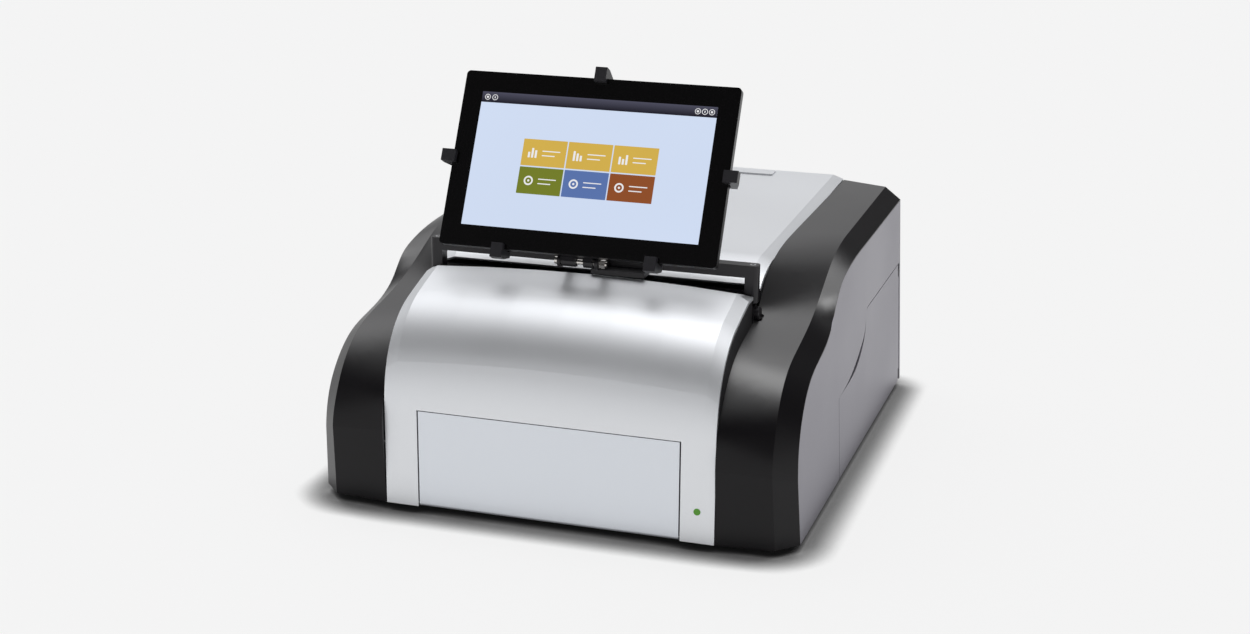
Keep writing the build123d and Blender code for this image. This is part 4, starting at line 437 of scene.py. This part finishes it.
def stage_floor():
    """Wide pale floor: plain white to light, and to the eye white outside the object's shadow,
    which is partly cast by the lamps and partly painted from how enclosed each point is.
    """
    bm = bmesh.new()
    bmesh.ops.create_grid(bm, x_segments=8, y_segments=8, size=FLOOR_HALF)
    me = bpy.data.meshes.new("studio_floor")
    bm.to_mesh(me)
    bm.free()
    m, t, b = new_material("floor_white")
    n = noise(t, 0.6, 1.0)
    mix = t.nodes.new("ShaderNodeMix")
    mix.data_type = "RGBA"
    for socket, v in zip(("A", "B"), FLOOR_WHITE):
        mix.inputs[socket].default_value = (v, v, v, 1)
    t.links.new(n.outputs["Fac"], mix.inputs["Factor"])
    t.links.new(mix.outputs["Result"], b.inputs["Base Color"])
    b.inputs["Roughness"].default_value = 1.0
    b.inputs["Specular IOR Level"].default_value = 0.0
    # painted shadow: the white seen by the eye and in reflections darkens where the object closes
    # in on the floor
    near = t.nodes.new("ShaderNodeAmbientOcclusion")
    near.samples = 16
    near.inputs["Distance"].default_value = PAINTED_SHADOW_REACH
    dark = t.nodes.new("ShaderNodeMath")
    dark.operation = "POWER"
    dark.inputs[1].default_value = PAINTED_SHADOW_DEPTH
    t.links.new(near.outputs["AO"], dark.inputs[0])
    level = t.nodes.new("ShaderNodeMath")
    level.operation = "MULTIPLY"
    level.inputs[1].default_value = BACKDROP
    t.links.new(dark.outputs[0], level.inputs[0])
    white = t.nodes.new("ShaderNodeEmission")
    t.links.new(level.outputs[0], white.inputs["Strength"])
    path = t.nodes.new("ShaderNodeLightPath")
    seen = t.nodes.new("ShaderNodeMath")
    seen.operation = "MAXIMUM"
    t.links.new(path.outputs["Is Camera Ray"], seen.inputs[0])
    t.links.new(path.outputs["Is Glossy Ray"], seen.inputs[1])
    both = t.nodes.new("ShaderNodeMath")
    both.operation = "MAXIMUM"
    t.links.new(seen.outputs[0], both.inputs[0])
    t.links.new(path.outputs["Is Transmission Ray"], both.inputs[1])
    share = t.nodes.new("ShaderNodeMath")
    share.operation = "MULTIPLY"
    share.inputs[1].default_value = FLOOR_PLAIN
    t.links.new(both.outputs[0], share.inputs[0])
    out = t.nodes["Material Output"]
    blend = t.nodes.new("ShaderNodeMixShader")
    t.links.new(share.outputs[0], blend.inputs["Fac"])
    t.links.new(b.outputs["BSDF"], blend.inputs[1])
    t.links.new(white.outputs["Emission"], blend.inputs[2])
    t.links.new(blend.outputs["Shader"], out.inputs["Surface"])
    me.materials.append(m)
    ob = bpy.data.objects.new("studio_floor", me)
    bpy.context.scene.collection.objects.link(ob)


def stage_world():
    """Bright ceiling, darker towards the rear right, with a dim room above a pale one in front."""
    w = bpy.data.worlds.new("studio")
    bpy.context.scene.world = w
    w.use_nodes = True
    t = w.node_tree
    bg = t.nodes["Background"]
    tc = t.nodes.new("ShaderNodeTexCoord")
    sep = t.nodes.new("ShaderNodeSeparateXYZ")
    t.links.new(tc.outputs["Generated"], sep.inputs["Vector"])

    def ramp(stops):
        r = t.nodes.new("ShaderNodeValToRGB")
        r.color_ramp.interpolation = "EASE"
        e = r.color_ramp.elements
        e[0].position, e[1].position = stops[0][0], stops[-1][0]
        for k, (at, v) in zip((e[0], e[1]), (stops[0], stops[-1])):
            k.color = (v, v, v * 1.01, 1)
        for at, v in stops[1:-1]:
            e.new(at).color = (v, v, v * 1.01, 1)
        t.links.new(sep.outputs["Z"], r.inputs["Fac"])
        return r

    rear = ramp(REAR_LIGHT)
    right = ramp(RIGHT_LIGHT)
    front = ramp(FRONT_LIGHT)
    across = t.nodes.new("ShaderNodeMapRange")
    across.interpolation_type = "SMOOTHSTEP"
    across.inputs["From Min"].default_value = REAR_TO_RIGHT[0]
    across.inputs["From Max"].default_value = REAR_TO_RIGHT[1]
    t.links.new(sep.outputs["X"], across.inputs["Value"])
    behind = t.nodes.new("ShaderNodeMix")
    behind.data_type = "RGBA"
    t.links.new(across.outputs["Result"], behind.inputs["Factor"])
    t.links.new(rear.outputs["Color"], behind.inputs["A"])
    t.links.new(right.outputs["Color"], behind.inputs["B"])
    side = t.nodes.new("ShaderNodeMapRange")
    side.interpolation_type = "SMOOTHSTEP"
    side.inputs["From Min"].default_value = REAR_TO_FRONT[0]
    side.inputs["From Max"].default_value = REAR_TO_FRONT[1]
    t.links.new(sep.outputs["Y"], side.inputs["Value"])
    mix = t.nodes.new("ShaderNodeMix")
    mix.data_type = "RGBA"
    t.links.new(side.outputs["Result"], mix.inputs["Factor"])
    t.links.new(behind.outputs["Result"], mix.inputs["A"])
    t.links.new(front.outputs["Color"], mix.inputs["B"])
    t.links.new(mix.outputs["Result"], bg.inputs["Color"])
    bg.inputs["Strength"].default_value = 1.0


def sun(name, direction, strength, angle):
    """Very soft distant light from a direction."""
    d = bpy.data.lights.new(name, "SUN")
    d.energy = strength
    d.angle = math.radians(angle)
    o = bpy.data.objects.new(name, d)
    o.rotation_mode = "QUATERNION"
    o.rotation_quaternion = Vector(direction).to_track_quat("Z", "Y")
    bpy.context.scene.collection.objects.link(o)


stage_floor()
stage_world()
sun("key_overhead", KEY_DIRECTION, KEY_STRENGTH, KEY_ANGLE)


def stage_camera():
    """Camera at the picture's angle."""
    cam = bpy.data.objects.new("camera", bpy.data.cameras.new("camera"))
    bpy.context.scene.collection.objects.link(cam)
    cam.data.lens = CAMERA_LENS
    cam.data.sensor_width = CAMERA_SENSOR
    back = Vector(CAMERA_BACK).normalized()
    x0 = Vector((0, 0, 1)).cross(back).normalized()
    y0 = back.cross(x0)
    roll = math.radians(CAMERA_ROLL)
    right = math.cos(roll) * x0 + math.sin(roll) * y0
    up = math.cos(roll) * y0 - math.sin(roll) * x0
    rot = Matrix((right, up, back)).transposed().to_4x4()
    cam.matrix_world = Matrix.Translation(CAMERA_PLACE) @ rot
    cam.data.clip_start = 0.05
    cam.data.clip_end = 60
    bpy.context.scene.camera = cam


stage_camera()
bpy.context.scene.view_settings.view_transform = "Standard"
